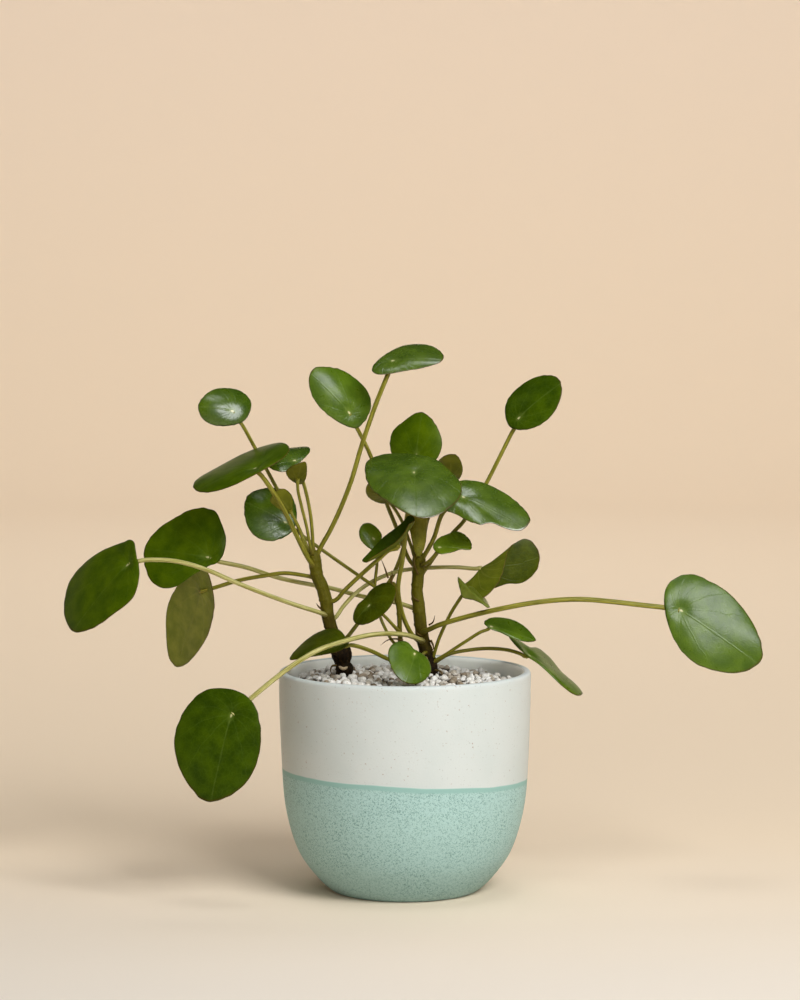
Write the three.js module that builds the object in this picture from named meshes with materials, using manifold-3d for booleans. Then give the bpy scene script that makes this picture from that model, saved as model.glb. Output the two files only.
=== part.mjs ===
// A potted missionary plant (Pilea peperomioides) in a two-tone glazed pot.
//
// Millimetres, +Z up. The origin is the centre of the pot's flat underside,
// +X is the plant's right and -Y its front. Every leaf blade is one closed
// solid with its own stalk; the stems stand in plain holes in the soil.
import * as THREE from 'three';
import { mergeVertices } from 'three/addons/utils/BufferGeometryUtils.js';
import Module from 'manifold-3d';

const wasm = await Module();
wasm.setup();

// ---------------------------------------------------------------- sizes (mm)
const POT_HEIGHT = 111;
const RIM_RADIUS = 63.2;          // outer radius just under the lip
const FOOT_RADIUS = 35;           // flat ring the pot stands on
const LIP = 2.2;                  // rounding of the lip
const WALL = 4.6;
const POT_SEGMENTS = 36;
const SOIL_TOP = 100.6;
const TOPPING_BASE = 101;
const TOPPING_SLAB = 3.4;         // fused bed under the loose-looking granules
const TOPPING_RADIUS = 57;
const GRANULE = 5.2;              // mean granule radius, larger than life
const FIT_GAP = 0.35;             // clearance between pieces that meet
const BLADE = 0.8;                // blade thickness
const GRANULE_RINGS = 5;
const STALK_SIDES = 5;
const STEM_SIDES = 8;
const STALK_HOOK = 2.6;           // the stalk meets the blade square over this length
const STALK_BITE = 0.1;           // and ends this far above the blade's middle

// The leaves are laid out as they are seen from the front: x is the distance
// right of the pot's axis and h the height above its foot, both in millimetres
// at the axis, for an eye 1.7 m in front of it and 0.335 m up. A depth y then
// carries the point along the line of sight to its real place.
const EYE = new THREE.Vector3(-2.5, -1700, 334.8);
const AIM = new THREE.Vector3(-2.5, 0, 196.5);
const AIM_X = -2.5;
const AIM_H = 194;
const AIM_DISTANCE = EYE.distanceTo(AIM);
const FORWARD = AIM.clone().sub(EYE).normalize();
const UPWARD = new THREE.Vector3(0, -FORWARD.z, FORWARD.y);

function sightLine(x, h) {
  return FORWARD.clone()
    .addScaledVector(new THREE.Vector3(1, 0, 0), (x - AIM_X) / AIM_DISTANCE)
    .addScaledVector(UPWARD, (h - AIM_H) / AIM_DISTANCE);
}

function seen([x, y, h]) {
  const ray = sightLine(x, h);
  return EYE.clone().addScaledVector(ray, (y - EYE.y) / ray.y);
}

// --------------------------------------------------------------------- stems
// Each stem is a row of [x, depth, height seen, radius].
const STEMS = {
  left: [
    [-31.5, 3, 104, 3.4], [-31, 3, 109, 4.2], [-32, 3, 114, 5.0], [-32.5, 3.5, 120, 4.6],
    [-36, 4, 127, 3.3], [-38.5, 4, 136, 3.2], [-39.5, 4, 143.5, 3.2], [-41.5, 4, 150.5, 3.1],
    [-44, 4, 156.5, 3.1], [-45.2, 4, 164, 3.2], [-46, 4, 169, 2.9]
  ],
  right: [
    [13, 8, 106, 3.6], [12.5, 8, 112, 3.5], [11, 8, 117.5, 3.3], [9.2, 8, 123, 3.3],
    [8, 8, 130, 3.2], [7, 8, 140, 3.1], [6, 8, 149, 2.9], [6.6, 8, 156, 3.0],
    [7, 8, 163, 3.2], [6.6, 8, 168, 2.9]
  ],
  middle: [
    [-1.5, -4, 104, 1.4], [-1.8, -4, 112, 1.3], [-2.5, -4, 127, 1.2], [-3.2, -4, 140, 1.2],
    [-4.6, -4, 147, 1.5], [-6.6, -4, 153, 1.7]
  ]
};
const BURIED = { left: 28, right: 30, middle: 22 };   // depth of each stem in the soil

// -------------------------------------------------------------------- leaves
// spot     where the stalk meets the blade: [x, depth, height]
// face     the direction the upper side looks
// outline  the blade's edge as seen: [x, height]; tip is the end of the midrib
// size     or, for a folded leaf, [length, width, part of the length behind the spot]
// cup      droop of the edges along and across the midrib (raised if negative)
// fold     angle in degrees by which each half is folded up along the midrib
// wave     [height, count, phase] of the rippled edge
// radius   of the stalk
// stalk    from the stem to the blade: [x, depth, height]
const LEAVES = [
  {"name": "leaf_far_left", "stem": "left", "spot": [-139, -12, 162], "face": [-0.62, -0.6, 0.5],
   "outline": [[-170.5, 141], [-167.5, 153], [-161, 161.5], [-152.2, 168.3], [-142, 172.5],
    [-135.5, 173.5], [-134, 166], [-133, 157], [-136, 146], [-146, 136.5], [-155.5, 130], [-165.5, 128],
    [-170, 134]],
   "tip": [-168, 129], "cup": [2, 2], "wave": [0.5, 3, 0], "radius": 1.15,
   "stalk": [[-38.6, 3, 136], [-42, 0, 137.5], [-57.5, -4, 142.5], [-72.5, -6, 148], [-85, -8, 153],
    [-97.5, -9, 158.5], [-110, -10, 162.5], [-120, -11, 164], [-133, -11, 163.5]]},
  {"name": "leaf_left_broad", "stem": "right", "spot": [-98.5, 16, 165.5], "face": [-0.15, -0.95, 0.3],
   "outline": [[-130.5, 164], [-129.5, 171.5], [-122.5, 180.5], [-115.5, 185], [-107.5, 189],
    [-100, 190], [-94.5, 188], [-92, 183], [-89.5, 174], [-92.5, 164], [-99, 160.5], [-106.5, 156],
    [-114, 151], [-121, 150], [-127, 153.5]],
   "tip": [-130, 170], "cup": [2, 2], "wave": [0.5, 3, 1], "radius": 1.15,
   "stalk": [[7, 8, 139], [3, 9, 140.5], [-5, 10.5, 143], [-19.5, 13, 145.5], [-38, 15, 150.2],
    [-45.5, 15, 151.5], [-62.5, 15, 155], [-80, 17, 160.5], [-94, 19, 163.5]]},
  {"name": "leaf_left_hanging", "stem": "left", "spot": [-101, 24, 148.5], "face": [0.78, 0.6, 0.15],
   "outline": [[-105, 159], [-99, 158], [-96, 150.5], [-95, 142.5], [-97, 133], [-100, 124],
    [-105.5, 115.5], [-111, 111], [-115, 111], [-118, 115.5], [-119.5, 124], [-119.5, 134],
    [-117.5, 143.5], [-112.5, 153]],
   "tip": [-113, 111], "cup": [2, 2], "wave": [0.4, 3, 2], "radius": 1.05,
   "stalk": [[-43.5, 4, 155], [-47.5, 5, 155.8], [-60, 8, 157.5], [-71.5, 11, 156], [-82.5, 14, 154],
    [-95, 19, 150.3]]},
  {"name": "leaf_low_left", "stem": "right", "spot": [-87, -50, 86.5], "face": [-0.25, -0.93, 0.25],
   "outline": [[-92.5, 100], [-100.5, 98.5], [-107.5, 92.5], [-112.5, 85], [-115.5, 75], [-114.5, 66],
    [-111.5, 57], [-106.5, 49], [-100.5, 43.5], [-94, 43.5], [-86.5, 46.5], [-79.5, 52.5],
    [-74.5, 61.5], [-72, 73], [-72.5, 83], [-75.5, 92], [-82.5, 98]],
   "tip": [-98, 43.5], "cup": [3, 2], "wave": [0.5, 4, 0], "radius": 1.25,
   "stalk": [[8.8, 6, 123.5], [6.5, 0, 124.6], [0.5, -8, 126.6], [-9, -15, 127.2], [-19, -22, 126.2],
    [-31, -31, 123.2], [-43, -37, 119], [-52.5, -41, 113.7], [-62, -42, 107], [-71, -45, 99.8],
    [-79.5, -47, 92.5]]},
  {"name": "leaf_top_left", "stem": "left", "spot": [-86, 8, 238.5], "face": [0.05, -0.7, 0.72],
   "outline": [[-103.5, 241], [-100.5, 246], [-95, 249.5], [-88.5, 250], [-82.5, 248.5], [-77.5, 244],
    [-77, 239.5], [-80.5, 233.5], [-88, 231], [-96, 231.5], [-101.5, 235]],
   "tip": [-103, 242], "cup": [1.5, 1.5], "radius": 0.95,
   "stalk": [[-47.2, 6, 166], [-50, 6.5, 173], [-54.5, 9, 183], [-63, 14, 198], [-69, 14, 209],
    [-76, 12.5, 222], [-82, 10, 232.5]]},
  {"name": "leaf_left_slanted", "stem": "left", "spot": [-75, -25, 210.5], "face": [-0.4, -0.28, 0.87],
   "outline": [[-105.5, 199.5], [-104, 203.5], [-96.5, 209.2], [-86.5, 214.4], [-74.5, 219.4],
    [-63.5, 222.5], [-58, 220.5], [-61, 215], [-69.5, 209.5], [-78.5, 204.5], [-88.5, 200.5],
    [-99, 198]],
   "tip": [-105, 200], "cup": [1, 1], "wave": [0.4, 3, 1], "radius": 1.2,
   "stalk": [[-45, 3, 160], [-48.8, -1, 165.5], [-54.5, -7, 177], [-59.5, -12, 187],
    [-65.5, -17, 197.5], [-71.5, -21, 206]]},
  {"name": "leaf_left_folded", "stem": "left", "spot": [-55, 4, 214], "face": [0.1, -0.5, 0.85],
   "outline": [[-69.5, 212.5], [-64.5, 218], [-57.5, 220.5], [-49.5, 221], [-47.5, 218], [-51.5, 214],
    [-56, 211], [-60, 208], [-66, 209]],
   "tip": [-69, 211], "cup": [-1, 1.5], "radius": 0.9,
   "stalk": [[-45.8, 3.5, 167.5], [-46.2, 3.5, 176], [-47, 3.5, 185], [-49, 3.5, 196], [-51.5, 4, 205],
    [-54.2, 4.5, 211.5]]},
  {"name": "leaf_left_bud_upper", "stem": "left", "spot": [-53.5, -5, 205], "face": [0.1, 0.6, 0.8],
   "outline": [[-59.5, 208.5], [-54.5, 212], [-50, 213.5], [-49, 208], [-50, 204], [-52.5, 201.5],
    [-56, 203], [-58.5, 205.5]],
   "tip": [-52, 212.5], "cup": [-1.5, -1.5], "radius": 0.8,
   "stalk": [[-46, 2, 166.5], [-47.6, -0.5, 172], [-49, -2.2, 180], [-51.5, -4, 190],
    [-53.5, -5.5, 199]]},
  {"name": "leaf_left_round", "stem": "middle", "spot": [-59.5, 3.5, 183], "face": [-0.15, -0.92, 0.35],
   "outline": [[-80.5, 189.5], [-78.5, 196.5], [-72.5, 199.5], [-65, 200], [-58.5, 198.5],
    [-55.5, 193.5], [-54, 186.5], [-55.5, 179.5], [-60, 175.5], [-67, 173.5], [-74, 175.5],
    [-78.5, 180.5]],
   "tip": [-79, 194], "cup": [2, 1.5], "radius": 0.9,
   "stalk": [[-4.2, -4, 145], [-7.5, -2.5, 146], [-15.5, 2.5, 151], [-30, 9, 161], [-40.2, 11.5, 168.2],
    [-49, 12, 174.5], [-56, 9.5, 180]]},
  {"name": "leaf_left_bud_lower", "stem": "left", "spot": [-57.5, -3, 189], "face": [-0.3, 0.7, 0.6],
   "outline": [[-67.5, 193.5], [-64.5, 198.5], [-60.5, 199.5], [-57, 196.5], [-56, 191.5], [-57, 187.5],
    [-62, 189]],
   "tip": [-65, 198], "cup": [-1, -1], "radius": 0.75,
   "stalk": [[-47, 3, 164], [-49.9, 1.2, 169.5], [-52.2, -1.2, 177.5], [-54.8, -3.5, 183.5]]},
  {"name": "leaf_top_middle", "stem": "right", "spot": [-27.5, 2, 237.5], "face": [0.3, -0.8, 0.5],
   "outline": [[-48, 255.5], [-45.5, 260], [-39, 260.5], [-31.5, 259], [-24.5, 254.5], [-19, 248.5],
    [-17, 242], [-19, 235], [-24, 230], [-29.5, 231], [-37.5, 235.5], [-43.5, 241.5], [-47, 248]],
   "tip": [-47, 259], "cup": [1.5, 2], "wave": [0.3, 3, 0], "radius": 1.05,
   "stalk": [[6, 9, 160.5], [2.6, 11, 163.5], [-1, 13, 171.5], [-5, 13.5, 182], [-9, 13.5, 192],
    [-16.5, 10, 214.5], [-24, 5, 230]]},
  {"name": "leaf_crown_top", "stem": "left", "spot": [-6.5, -6, 264], "face": [-0.15, -0.4, 0.9],
   "outline": [[-16.5, 258.5], [-13, 264], [-7, 268.5], [0, 271.5], [7.5, 272], [14, 270.5],
    [19.5, 265.5], [17.5, 262.5], [9.5, 260.5], [0, 259], [-8.5, 257], [-14, 256.5]],
   "tip": [19, 266], "cup": [1, -1], "wave": [0.4, 2, 1], "radius": 1.2,
   "stalk": [[-45, 4, 163.5], [-42, 3, 170.5], [-37.5, 0, 178.5], [-32.5, -3, 189], [-27, -5.5, 203],
    [-21.5, -7, 221.5], [-15, -7.5, 240.5], [-9, -7, 255.5]]},
  {"name": "leaf_back_upright", "stem": "left", "spot": [5.5, 22, 216], "face": [0.05, -0.95, 0.25],
   "outline": [[-7.5, 222], [-6, 228.5], [-0.5, 233.5], [4.5, 237], [8, 238], [12.5, 235.5],
    [17, 228.5], [18.5, 221.5], [16, 214.5], [9.5, 209.5], [1, 209.5], [-5.5, 214.5]],
   "tip": [8, 238], "cup": [2, 2], "radius": 1.05,
   "stalk": [[-33, 4.5, 122.5], [-29.8, 8, 124.5], [-24.5, 12, 131], [-15.5, 15, 143], [-7, 17, 154.5],
    [-1, 19, 169.5], [3, 24, 195], [5, 26, 209]]},
  {"name": "leaf_front_large", "stem": "right", "spot": [4.5, -12, 208.5], "face": [0, -0.65, 0.76],
   "outline": [[-20, 207], [-18.5, 213.5], [-11.5, 217], [-2.5, 217.5], [6.5, 216], [16, 213.5],
    [23.5, 208], [28, 202], [27.5, 195], [21.5, 189.5], [15, 186], [7.5, 185], [0, 187.5], [-8.5, 193],
    [-16.5, 199.5]],
   "tip": [6, 185], "cup": [3, 2], "wave": [0.5, 4, 1], "radius": 1.2,
   "stalk": [[9, 9, 122.5], [4.2, 8.5, 126], [0, 5, 133.5], [-2.6, 2, 142.5], [-3.4, 1, 151],
    [-1.4, 1.5, 163], [0, 1, 174], [0.8, -1, 184], [3, -6, 196], [4.4, -9.5, 203.5]]},
  {"name": "leaf_right_wavy", "stem": "right", "spot": [29, -6, 196], "face": [0.3, -0.55, 0.78],
   "outline": [[18.5, 190], [18, 196], [22, 202], [28.5, 204], [36.5, 203], [44.5, 200], [52.5, 196],
    [59, 190], [62.5, 183], [58, 179], [50.5, 180], [43.5, 182], [37.5, 181], [31.5, 183.5],
    [25.5, 187.5]],
   "tip": [61, 181], "cup": [2, 1.5], "wave": [0.6, 4, 0], "radius": 1.15,
   "stalk": [[7.6, 8, 163], [10.8, 6.5, 168], [14.5, 3, 175], [19, -2, 187.5], [24.5, -4.5, 192]]},
  {"name": "leaf_top_right", "stem": "right", "spot": [56.5, 12, 235], "face": [-0.42, -0.8, 0.42],
   "outline": [[50, 238.5], [52, 245], [57.5, 251], [64, 255], [71, 256.5], [76.5, 255], [78.5, 249],
    [76.5, 241.5], [72, 235], [65.5, 230.5], [58, 229], [52, 231]],
   "tip": [78, 254], "cup": [2, 1.5], "radius": 1.05,
   "stalk": [[7.4, 9, 156], [11.2, 10.5, 160.5], [15, 12, 166], [23.5, 14, 177], [29.5, 15, 183.5],
    [40.5, 16, 202], [54, 15, 228.5]]},
  {"name": "leaf_small_back_right", "stem": "right", "spot": [22.5, 10, 206.5], "face": [0.2, 0.6, 0.75],
   "outline": [[16, 212], [20.5, 216.5], [25, 216.5], [28.5, 212], [28.5, 207], [25.5, 203.5],
    [19.5, 205]],
   "tip": [23, 216.5], "cup": [-1, -1], "radius": 0.8,
   "stalk": [[7.2, 9.5, 167.8], [9.2, 9.8, 173], [11.5, 10, 184], [16, 9.6, 195], [20.5, 8.6, 202.5]]},
  {"name": "leaf_small_back_left", "stem": "right", "spot": [-10.5, 2, 197], "face": [-0.3, 0.6, 0.75],
   "outline": [[-19.5, 200.5], [-18.5, 195.5], [-14.5, 193], [-9.5, 192.5], [-6.5, 197], [-9.5, 203],
    [-16, 204.5]],
   "tip": [-18, 202], "cup": [-1, -1], "radius": 0.85,
   "stalk": [[5, 8, 166], [2.4, 8, 173], [-1.8, 6.5, 184], [-6.5, 4, 191.5]]},
  {"name": "leaf_small_cupped", "stem": "right", "spot": [17, -4, 170.5], "face": [0.1, -0.6, 0.8],
   "outline": [[14, 171], [16.5, 174.5], [21.5, 177], [25.5, 178.5], [29.5, 177], [33, 173],
    [33, 169.5], [28, 169.5], [23, 167.5], [17.5, 167]],
   "tip": [33, 171.5], "cup": [1, -1.5], "radius": 0.9,
   "stalk": [[8.4, 5, 161.5], [11.6, 0.5, 163], [14.8, -3, 166.3]]},
  {"name": "leaf_small_middle", "stem": "middle", "spot": [-15.5, -2, 174.5], "face": [-0.2, -0.85, 0.5],
   "outline": [[-23, 178.5], [-21, 182], [-17.5, 182.5], [-14, 180], [-11.5, 176], [-13, 172],
    [-16, 169], [-20, 171.5], [-22.5, 175]],
   "tip": [-22.5, 181], "cup": [1, 1], "radius": 0.8,
   "stalk": [[-2.4, -3, 121.5], [-5.4, 0.5, 122.5], [-9, 4, 128], [-12.5, 7, 136], [-15, 8, 150],
    [-14, 7, 163], [-14.6, 3, 171]]},
  {"name": "leaf_edge_on", "stem": "left", "spot": [-3, -14, 178.8], "face": [-0.68, 0.24, 0.7],
   "outline": [[-21.5, 162.5], [-17, 168.5], [-11.5, 175], [-5, 181], [0, 184.8], [1.6, 184.2],
    [0.6, 181], [-2.6, 176.8], [-7.5, 171.5], [-12.5, 166.5], [-17.5, 162.5]],
   "tip": [-21.5, 162.5], "cup": [0.5, 0.5], "radius": 1.1,
   "stalk": [[-39.3, 4, 143.5], [-35.2, 2, 143.6], [-29.5, -2, 149.5], [-21, -7, 157.5],
    [-13, -12, 166], [-6.5, -15, 173]]},
  {"name": "leaf_right_folded", "stem": "left", "spot": [39, 14, 159], "face": [0.62, -0.47, -0.62],
   "outline": [[32, 150], [34.5, 146], [39.5, 144], [43.5, 147], [47, 152], [50.5, 161], [52.5, 168],
    [55, 172]],
   "far_outline": [[32, 150], [38, 146.5], [46, 149], [52, 151], [59.5, 151.5], [66, 156.5],
    [68.2, 163.5], [66, 170.5], [61, 174], [55, 172]],
   "tip": [55, 172], "tip_depth": 20, "fold": [62, 62], "radius": 1.05,
   "stalk": [[-38.6, 4.5, 133], [-34.8, 4.5, 135.2], [-31, 6, 140.5], [-25, 8, 147],
    [-17.5, 10.5, 152.5], [-9, 13, 156.5], [-2, 15, 158.6], [11, 16.5, 160], [26, 16.5, 160.3],
    [35, 15.5, 159.6]]},
  {"name": "leaf_small_folded", "stem": "right", "spot": [28.5, -9, 146.2], "face": [0.78, -0.1, 0.6],
   "tip_direction": [0.1, -1, -0.1], "size": [19, 25, 0.4], "fold": 28, "radius": 0.9,
   "stalk": [[12.5, 8, 113], [14.2, 6.5, 116], [17, 4, 124.5], [22.5, 0, 136.5], [26.5, -6, 143]]},
  {"name": "leaf_rim_right", "stem": "right", "spot": [43, -2, 131], "face": [0.37, -0.42, 0.83],
   "outline": [[39.5, 132.5], [42.5, 135], [47.5, 135.5], [53.5, 134], [59, 131], [63.5, 127],
    [65.5, 124], [61, 123], [54.5, 124.5], [48.5, 127.5], [42.5, 130]],
   "tip": [65, 124.5], "cup": [1, 1], "radius": 0.85,
   "stalk": [[12.8, 7, 112], [16.5, 6, 114.5], [20, 4.5, 116.5], [30, 1, 123], [38, -1.5, 128]]},
  {"name": "leaf_rim_hanging", "stem": "right", "spot": [62.5, 14, 117], "face": [0.6, -0.2, 0.75],
   "outline": [[52, 125.5], [57, 123.5], [62, 120.5], [66.5, 119.5], [72.5, 114.5], [78.5, 108],
    [85.5, 101.5], [88.5, 97], [85, 96.5], [77.5, 102], [70, 109], [63, 115], [56.5, 120]],
   "tip": [88, 96.5], "cup": [0.5, 0.5], "radius": 0.95,
   "stalk": [[12.6, 9, 110.5], [16.2, 10, 113.5], [22.5, 11, 117], [32.5, 12.5, 119],
    [42.5, 13.5, 119.7], [52.5, 14, 118.7], [59, 14, 116.4]]},
  {"name": "leaf_far_right", "stem": "right", "spot": [138, -10, 139], "face": [0.35, -0.8, 0.5],
   "outline": [[129.5, 141.5], [130.5, 150], [135, 155], [143.5, 157], [152, 153.5], [160.5, 148.5],
    [168, 141.2], [174, 132.3], [178, 122], [178.5, 114.5], [173, 109.5], [165, 107.5], [155, 108.5],
    [145.5, 112], [138, 119], [132.5, 129]],
   "tip": [178, 112], "cup": [3, 2], "wave": [0.5, 4, 2], "radius": 1.3,
   "stalk": [[8.6, 6.5, 128], [12, 1, 129.2], [18, -5, 131.8], [32.5, -9, 136], [47.5, -10.5, 139.5],
    [62.5, -11, 142.3], [77.5, -11, 144], [90, -10.5, 144.2], [102.5, -10, 143.2], [117.5, -9.5, 141.5],
    [130.5, -8.5, 140]]},
  {"name": "leaf_dark_oval", "stem": "middle", "spot": [-18, -12, 141.5], "face": [-0.55, -0.6, 0.55],
   "outline": [[-26, 135.5], [-24, 141], [-20, 145], [-17, 149], [-12, 152], [-7.5, 152.5],
    [-4.5, 149.5], [-6, 143.5], [-9.5, 138], [-15, 133.5], [-21, 131.5], [-25, 132.5]],
   "tip": [-25.5, 133], "cup": [1.5, 1.5], "radius": 0.85,
   "stalk": [[-2.4, -4, 128], [-5, -5.5, 130.5], [-10, -7.5, 135.8], [-14, -9, 139.2]]},
  {"name": "leaf_rim_left", "stem": "right", "spot": [-32.5, -22, 122.5], "face": [-0.4, -0.42, 0.8],
   "outline": [[-57.5, 114], [-54, 120], [-48.5, 125], [-41.5, 128.5], [-34.5, 129.5], [-30, 126],
    [-28.5, 122], [-33.5, 118.5], [-41.5, 116.5], [-50, 115]],
   "tip": [-57, 114.5], "cup": [1.5, 1], "radius": 1.05,
   "stalk": [[12, 7.5, 115], [8.2, 2, 114], [1.5, -8.5, 113], [-7.5, -14, 114.2], [-17.5, -19, 118.8],
    [-27, -21.5, 121.5]]},
  {"name": "leaf_front_low", "stem": "right", "spot": [5, -36, 117.5], "face": [0.1, -0.9, 0.4],
   "outline": [[-8.5, 115.5], [-7.5, 120.5], [-4, 123], [0.5, 123], [4, 120], [7.5, 118], [11.5, 114.5],
    [13, 109], [10, 104], [4.5, 102], [-1.5, 103.5], [-6, 108]],
   "tip": [1, 102.5], "cup": [1.5, 1.5], "radius": 0.85,
   "stalk": [[11, 7, 118], [9.6, 2, 117.4], [9, -8, 116.8], [8, -20, 116.6], [6.4, -31, 117]]},
  {"name": "leaf_young_rolled", "stem": "right", "spot": [6.4, 3, 171.5], "face": [0.1, -0.98, 0.1],
   "outline": [[2.6, 184], [3.2, 178], [4.6, 173], [6.6, 169.5], [8.2, 173], [10.2, 181.5], [9.6, 187],
    [5, 188.5]],
   "tip": [6, 188], "cup": [0, -3.5], "radius": 0.9,
   "stalk": [[6.8, 6, 165.5], [6.8, 3.8, 168.5]]}
];

// ------------------------------------------------------------- solid helpers
function toManifold(geometry) {
  const plain = geometry.index ? geometry.toNonIndexed() : geometry.clone();
  for (const name of Object.keys(plain.attributes)) {
    if (name !== 'position') plain.deleteAttribute(name);
  }
  const merged = mergeVertices(plain, 1e-4);
  const index = merged.index.array;
  const position = merged.attributes.position;
  const a = new THREE.Vector3(), b = new THREE.Vector3(), c = new THREE.Vector3();
  const triangles = [];
  let volume = 0;
  for (let i = 0; i < index.length; i += 3) {
    const [p, q, r] = [index[i], index[i + 1], index[i + 2]];
    if (p === q || q === r || r === p) continue;
    a.fromBufferAttribute(position, p);
    b.fromBufferAttribute(position, q);
    c.fromBufferAttribute(position, r);
    volume += a.dot(b.cross(c)) / 6;
    triangles.push(p, q, r);
  }
  if (volume < 0) {
    for (let i = 0; i < triangles.length; i += 3) {
      [triangles[i + 1], triangles[i + 2]] = [triangles[i + 2], triangles[i + 1]];
    }
  }
  return new wasm.Manifold(new wasm.Mesh({
    numProp: 3,
    vertProperties: new Float32Array(position.array),
    triVerts: new Uint32Array(triangles)
  }));
}

function toGeometry(solid) {
  const mesh = solid.getMesh();
  const points = new Float32Array(mesh.numVert * 3);
  for (let i = 0; i < mesh.numVert; i++) {
    for (let k = 0; k < 3; k++) points[3 * i + k] = mesh.vertProperties[i * mesh.numProp + k];
  }
  const geometry = new THREE.BufferGeometry();
  geometry.setAttribute('position', new THREE.BufferAttribute(points, 3));
  geometry.setIndex(new THREE.BufferAttribute(new Uint32Array(mesh.triVerts), 1));
  geometry.computeVertexNormals();
  return geometry;
}

// A round section carried along a smooth path, its radius changing on the way.
function sweep(points, radii, steps, sides) {
  const path = new THREE.CatmullRomCurve3(points, false, 'centripetal');
  const section = new THREE.Shape();
  for (let i = 0; i < sides; i++) {
    const angle = (2 * Math.PI * i) / sides;
    const method = i === 0 ? 'moveTo' : 'lineTo';
    section[method](Math.cos(angle), Math.sin(angle));
  }
  section.closePath();
  const options = { steps, bevelEnabled: false, extrudePath: path, curveSegments: 1 };
  const geometry = new THREE.ExtrudeGeometry(section, options);
  const stations = path.getSpacedPoints(steps);
  const lengths = [0];
  for (let i = 1; i < points.length; i++) {
    lengths.push(lengths[i - 1] + points[i].distanceTo(points[i - 1]));
  }
  const radiusAt = (share) => {
    const s = share * lengths[lengths.length - 1];
    let k = 1;
    while (k < lengths.length - 1 && lengths[k] < s) k++;
    const t = (s - lengths[k - 1]) / (lengths[k] - lengths[k - 1]);
    return radii[k - 1] + (radii[k] - radii[k - 1]) * Math.min(Math.max(t, 0), 1);
  };
  const position = geometry.attributes.position;
  const v = new THREE.Vector3();
  for (let i = 0; i < position.count; i++) {
    v.fromBufferAttribute(position, i);
    let best = 0, gap = Infinity;
    stations.forEach((station, k) => {
      const off = Math.abs(v.distanceTo(station) - 1);
      if (off < gap - 1e-7) { gap = off; best = k; }
    });
    v.sub(stations[best]).multiplyScalar(radiusAt(best / steps)).add(stations[best]);
    position.setXYZ(i, v.x, v.y, v.z);
  }
  return toManifold(geometry);
}

// ----------------------------------------------------------------------- pot
const outerProfile = [
  [FOOT_RADIUS, 0], [38.2, 1.2], [42.3, 4.8], [49.1, 13.1], [53.2, 18.8], [57.2, 31.2],
  [60.3, 47.2], [61.5, 66], [62.7, 95.9], [RIM_RADIUS, 107.5],
  [RIM_RADIUS - 0.6, 110], [RIM_RADIUS - LIP, POT_HEIGHT], [RIM_RADIUS - 3.8, 110.2]
];
const innerProfile = [
  [RIM_RADIUS - WALL, 108], [57.2, 78], [55.4, 46], [51.2, 29], [43, 16], [33, 9]
];
const potSolid = toManifold(new THREE.LatheGeometry(
  [[0, 0], ...outerProfile, ...innerProfile, [0, 8.4]].map(([r, z]) => new THREE.Vector2(r, z)), POT_SEGMENTS
).rotateX(Math.PI / 2));

// --------------------------------------------------------------------- stems
function stemSolid(name, grow) {
  const rows = STEMS[name];
  const points = rows.map(([x, y, h]) => seen([x, y, h]));
  const radii = rows.map((row) => row[3] + grow);
  const foot = points[0].clone();
  foot.z = SOIL_TOP - BURIED[name] - grow;
  points.unshift(foot);
  radii.unshift(rows[0][3] * 0.8 + grow);
  if (grow > 0) {
    const last = points.length - 1;
    const beyond = points[last].clone().sub(points[last - 1]).normalize().multiplyScalar(grow);
    points[last].add(beyond);
  }
  return sweep(points, radii, name === 'middle' ? 9 : 18, STEM_SIDES);
}

const stems = {}, sleeves = {};
for (const name of Object.keys(STEMS)) {
  stems[name] = stemSolid(name, 0);
  sleeves[name] = stemSolid(name, FIT_GAP);
}

// ---------------------------------------------------------- soil and topping
const soilProfile = innerProfile.map(([r, z]) => [r - 0.5, z]).filter(([, z]) => z < SOIL_TOP);
const filled = toManifold(new THREE.LatheGeometry(
  [[0, 9], [32.6, 9.4], ...soilProfile.reverse().slice(1), [57.7, SOIL_TOP], [0, SOIL_TOP]]
    .map(([r, z]) => new THREE.Vector2(r, z)), POT_SEGMENTS
).rotateX(Math.PI / 2));

// A fixed sequence, so that the granules fall the same way every time.
function sequence(seed) {
  let state = seed;
  return () => {
    state = (state * 1664525 + 1013904223) % 4294967296;
    return state / 4294967296;
  };
}

function granuleBed() {
  const random = sequence(7);
  const slab = new THREE.CylinderGeometry(TOPPING_RADIUS, TOPPING_RADIUS, TOPPING_SLAB, 32)
    .rotateX(Math.PI / 2).translate(0, 0, TOPPING_BASE + TOPPING_SLAB / 2);
  let bed = toManifold(slab);
  const stones = [];
  for (let ring = 0; ring <= GRANULE_RINGS; ring++) {
    const radius = (ring / GRANULE_RINGS) * (TOPPING_RADIUS - GRANULE - 0.4);
    const count = Math.max(1, Math.floor((2 * Math.PI * radius) / (GRANULE * 2)));
    for (let i = 0; i < count; i++) {
      const angle = (2 * Math.PI * (i + 0.5 * (ring % 2) + 0.12 * random())) / count;
      const size = GRANULE * (0.88 + 0.16 * random());
      const stone = new THREE.IcosahedronGeometry(size, 0);
      stone.scale(1, 0.85 + 0.15 * random(), 0.7 + 0.2 * random());
      stone.rotateX(random() * 3).rotateZ(random() * 6);
      const rest = TOPPING_BASE + TOPPING_SLAB - 0.5 + 0.8 * random();
      stone.translate(radius * Math.cos(angle), radius * Math.sin(angle), rest);
      stones.push(toManifold(stone));
    }
  }
  while (stones.length > 1) stones.push(stones.shift().add(stones.shift()));
  bed = bed.add(stones[0]);
  const under = toManifold(new THREE.CylinderGeometry(TOPPING_RADIUS + 5, TOPPING_RADIUS + 5, 20, 8)
    .rotateX(Math.PI / 2).translate(0, 0, TOPPING_BASE - 10));
  return bed.subtract(under);
}

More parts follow.
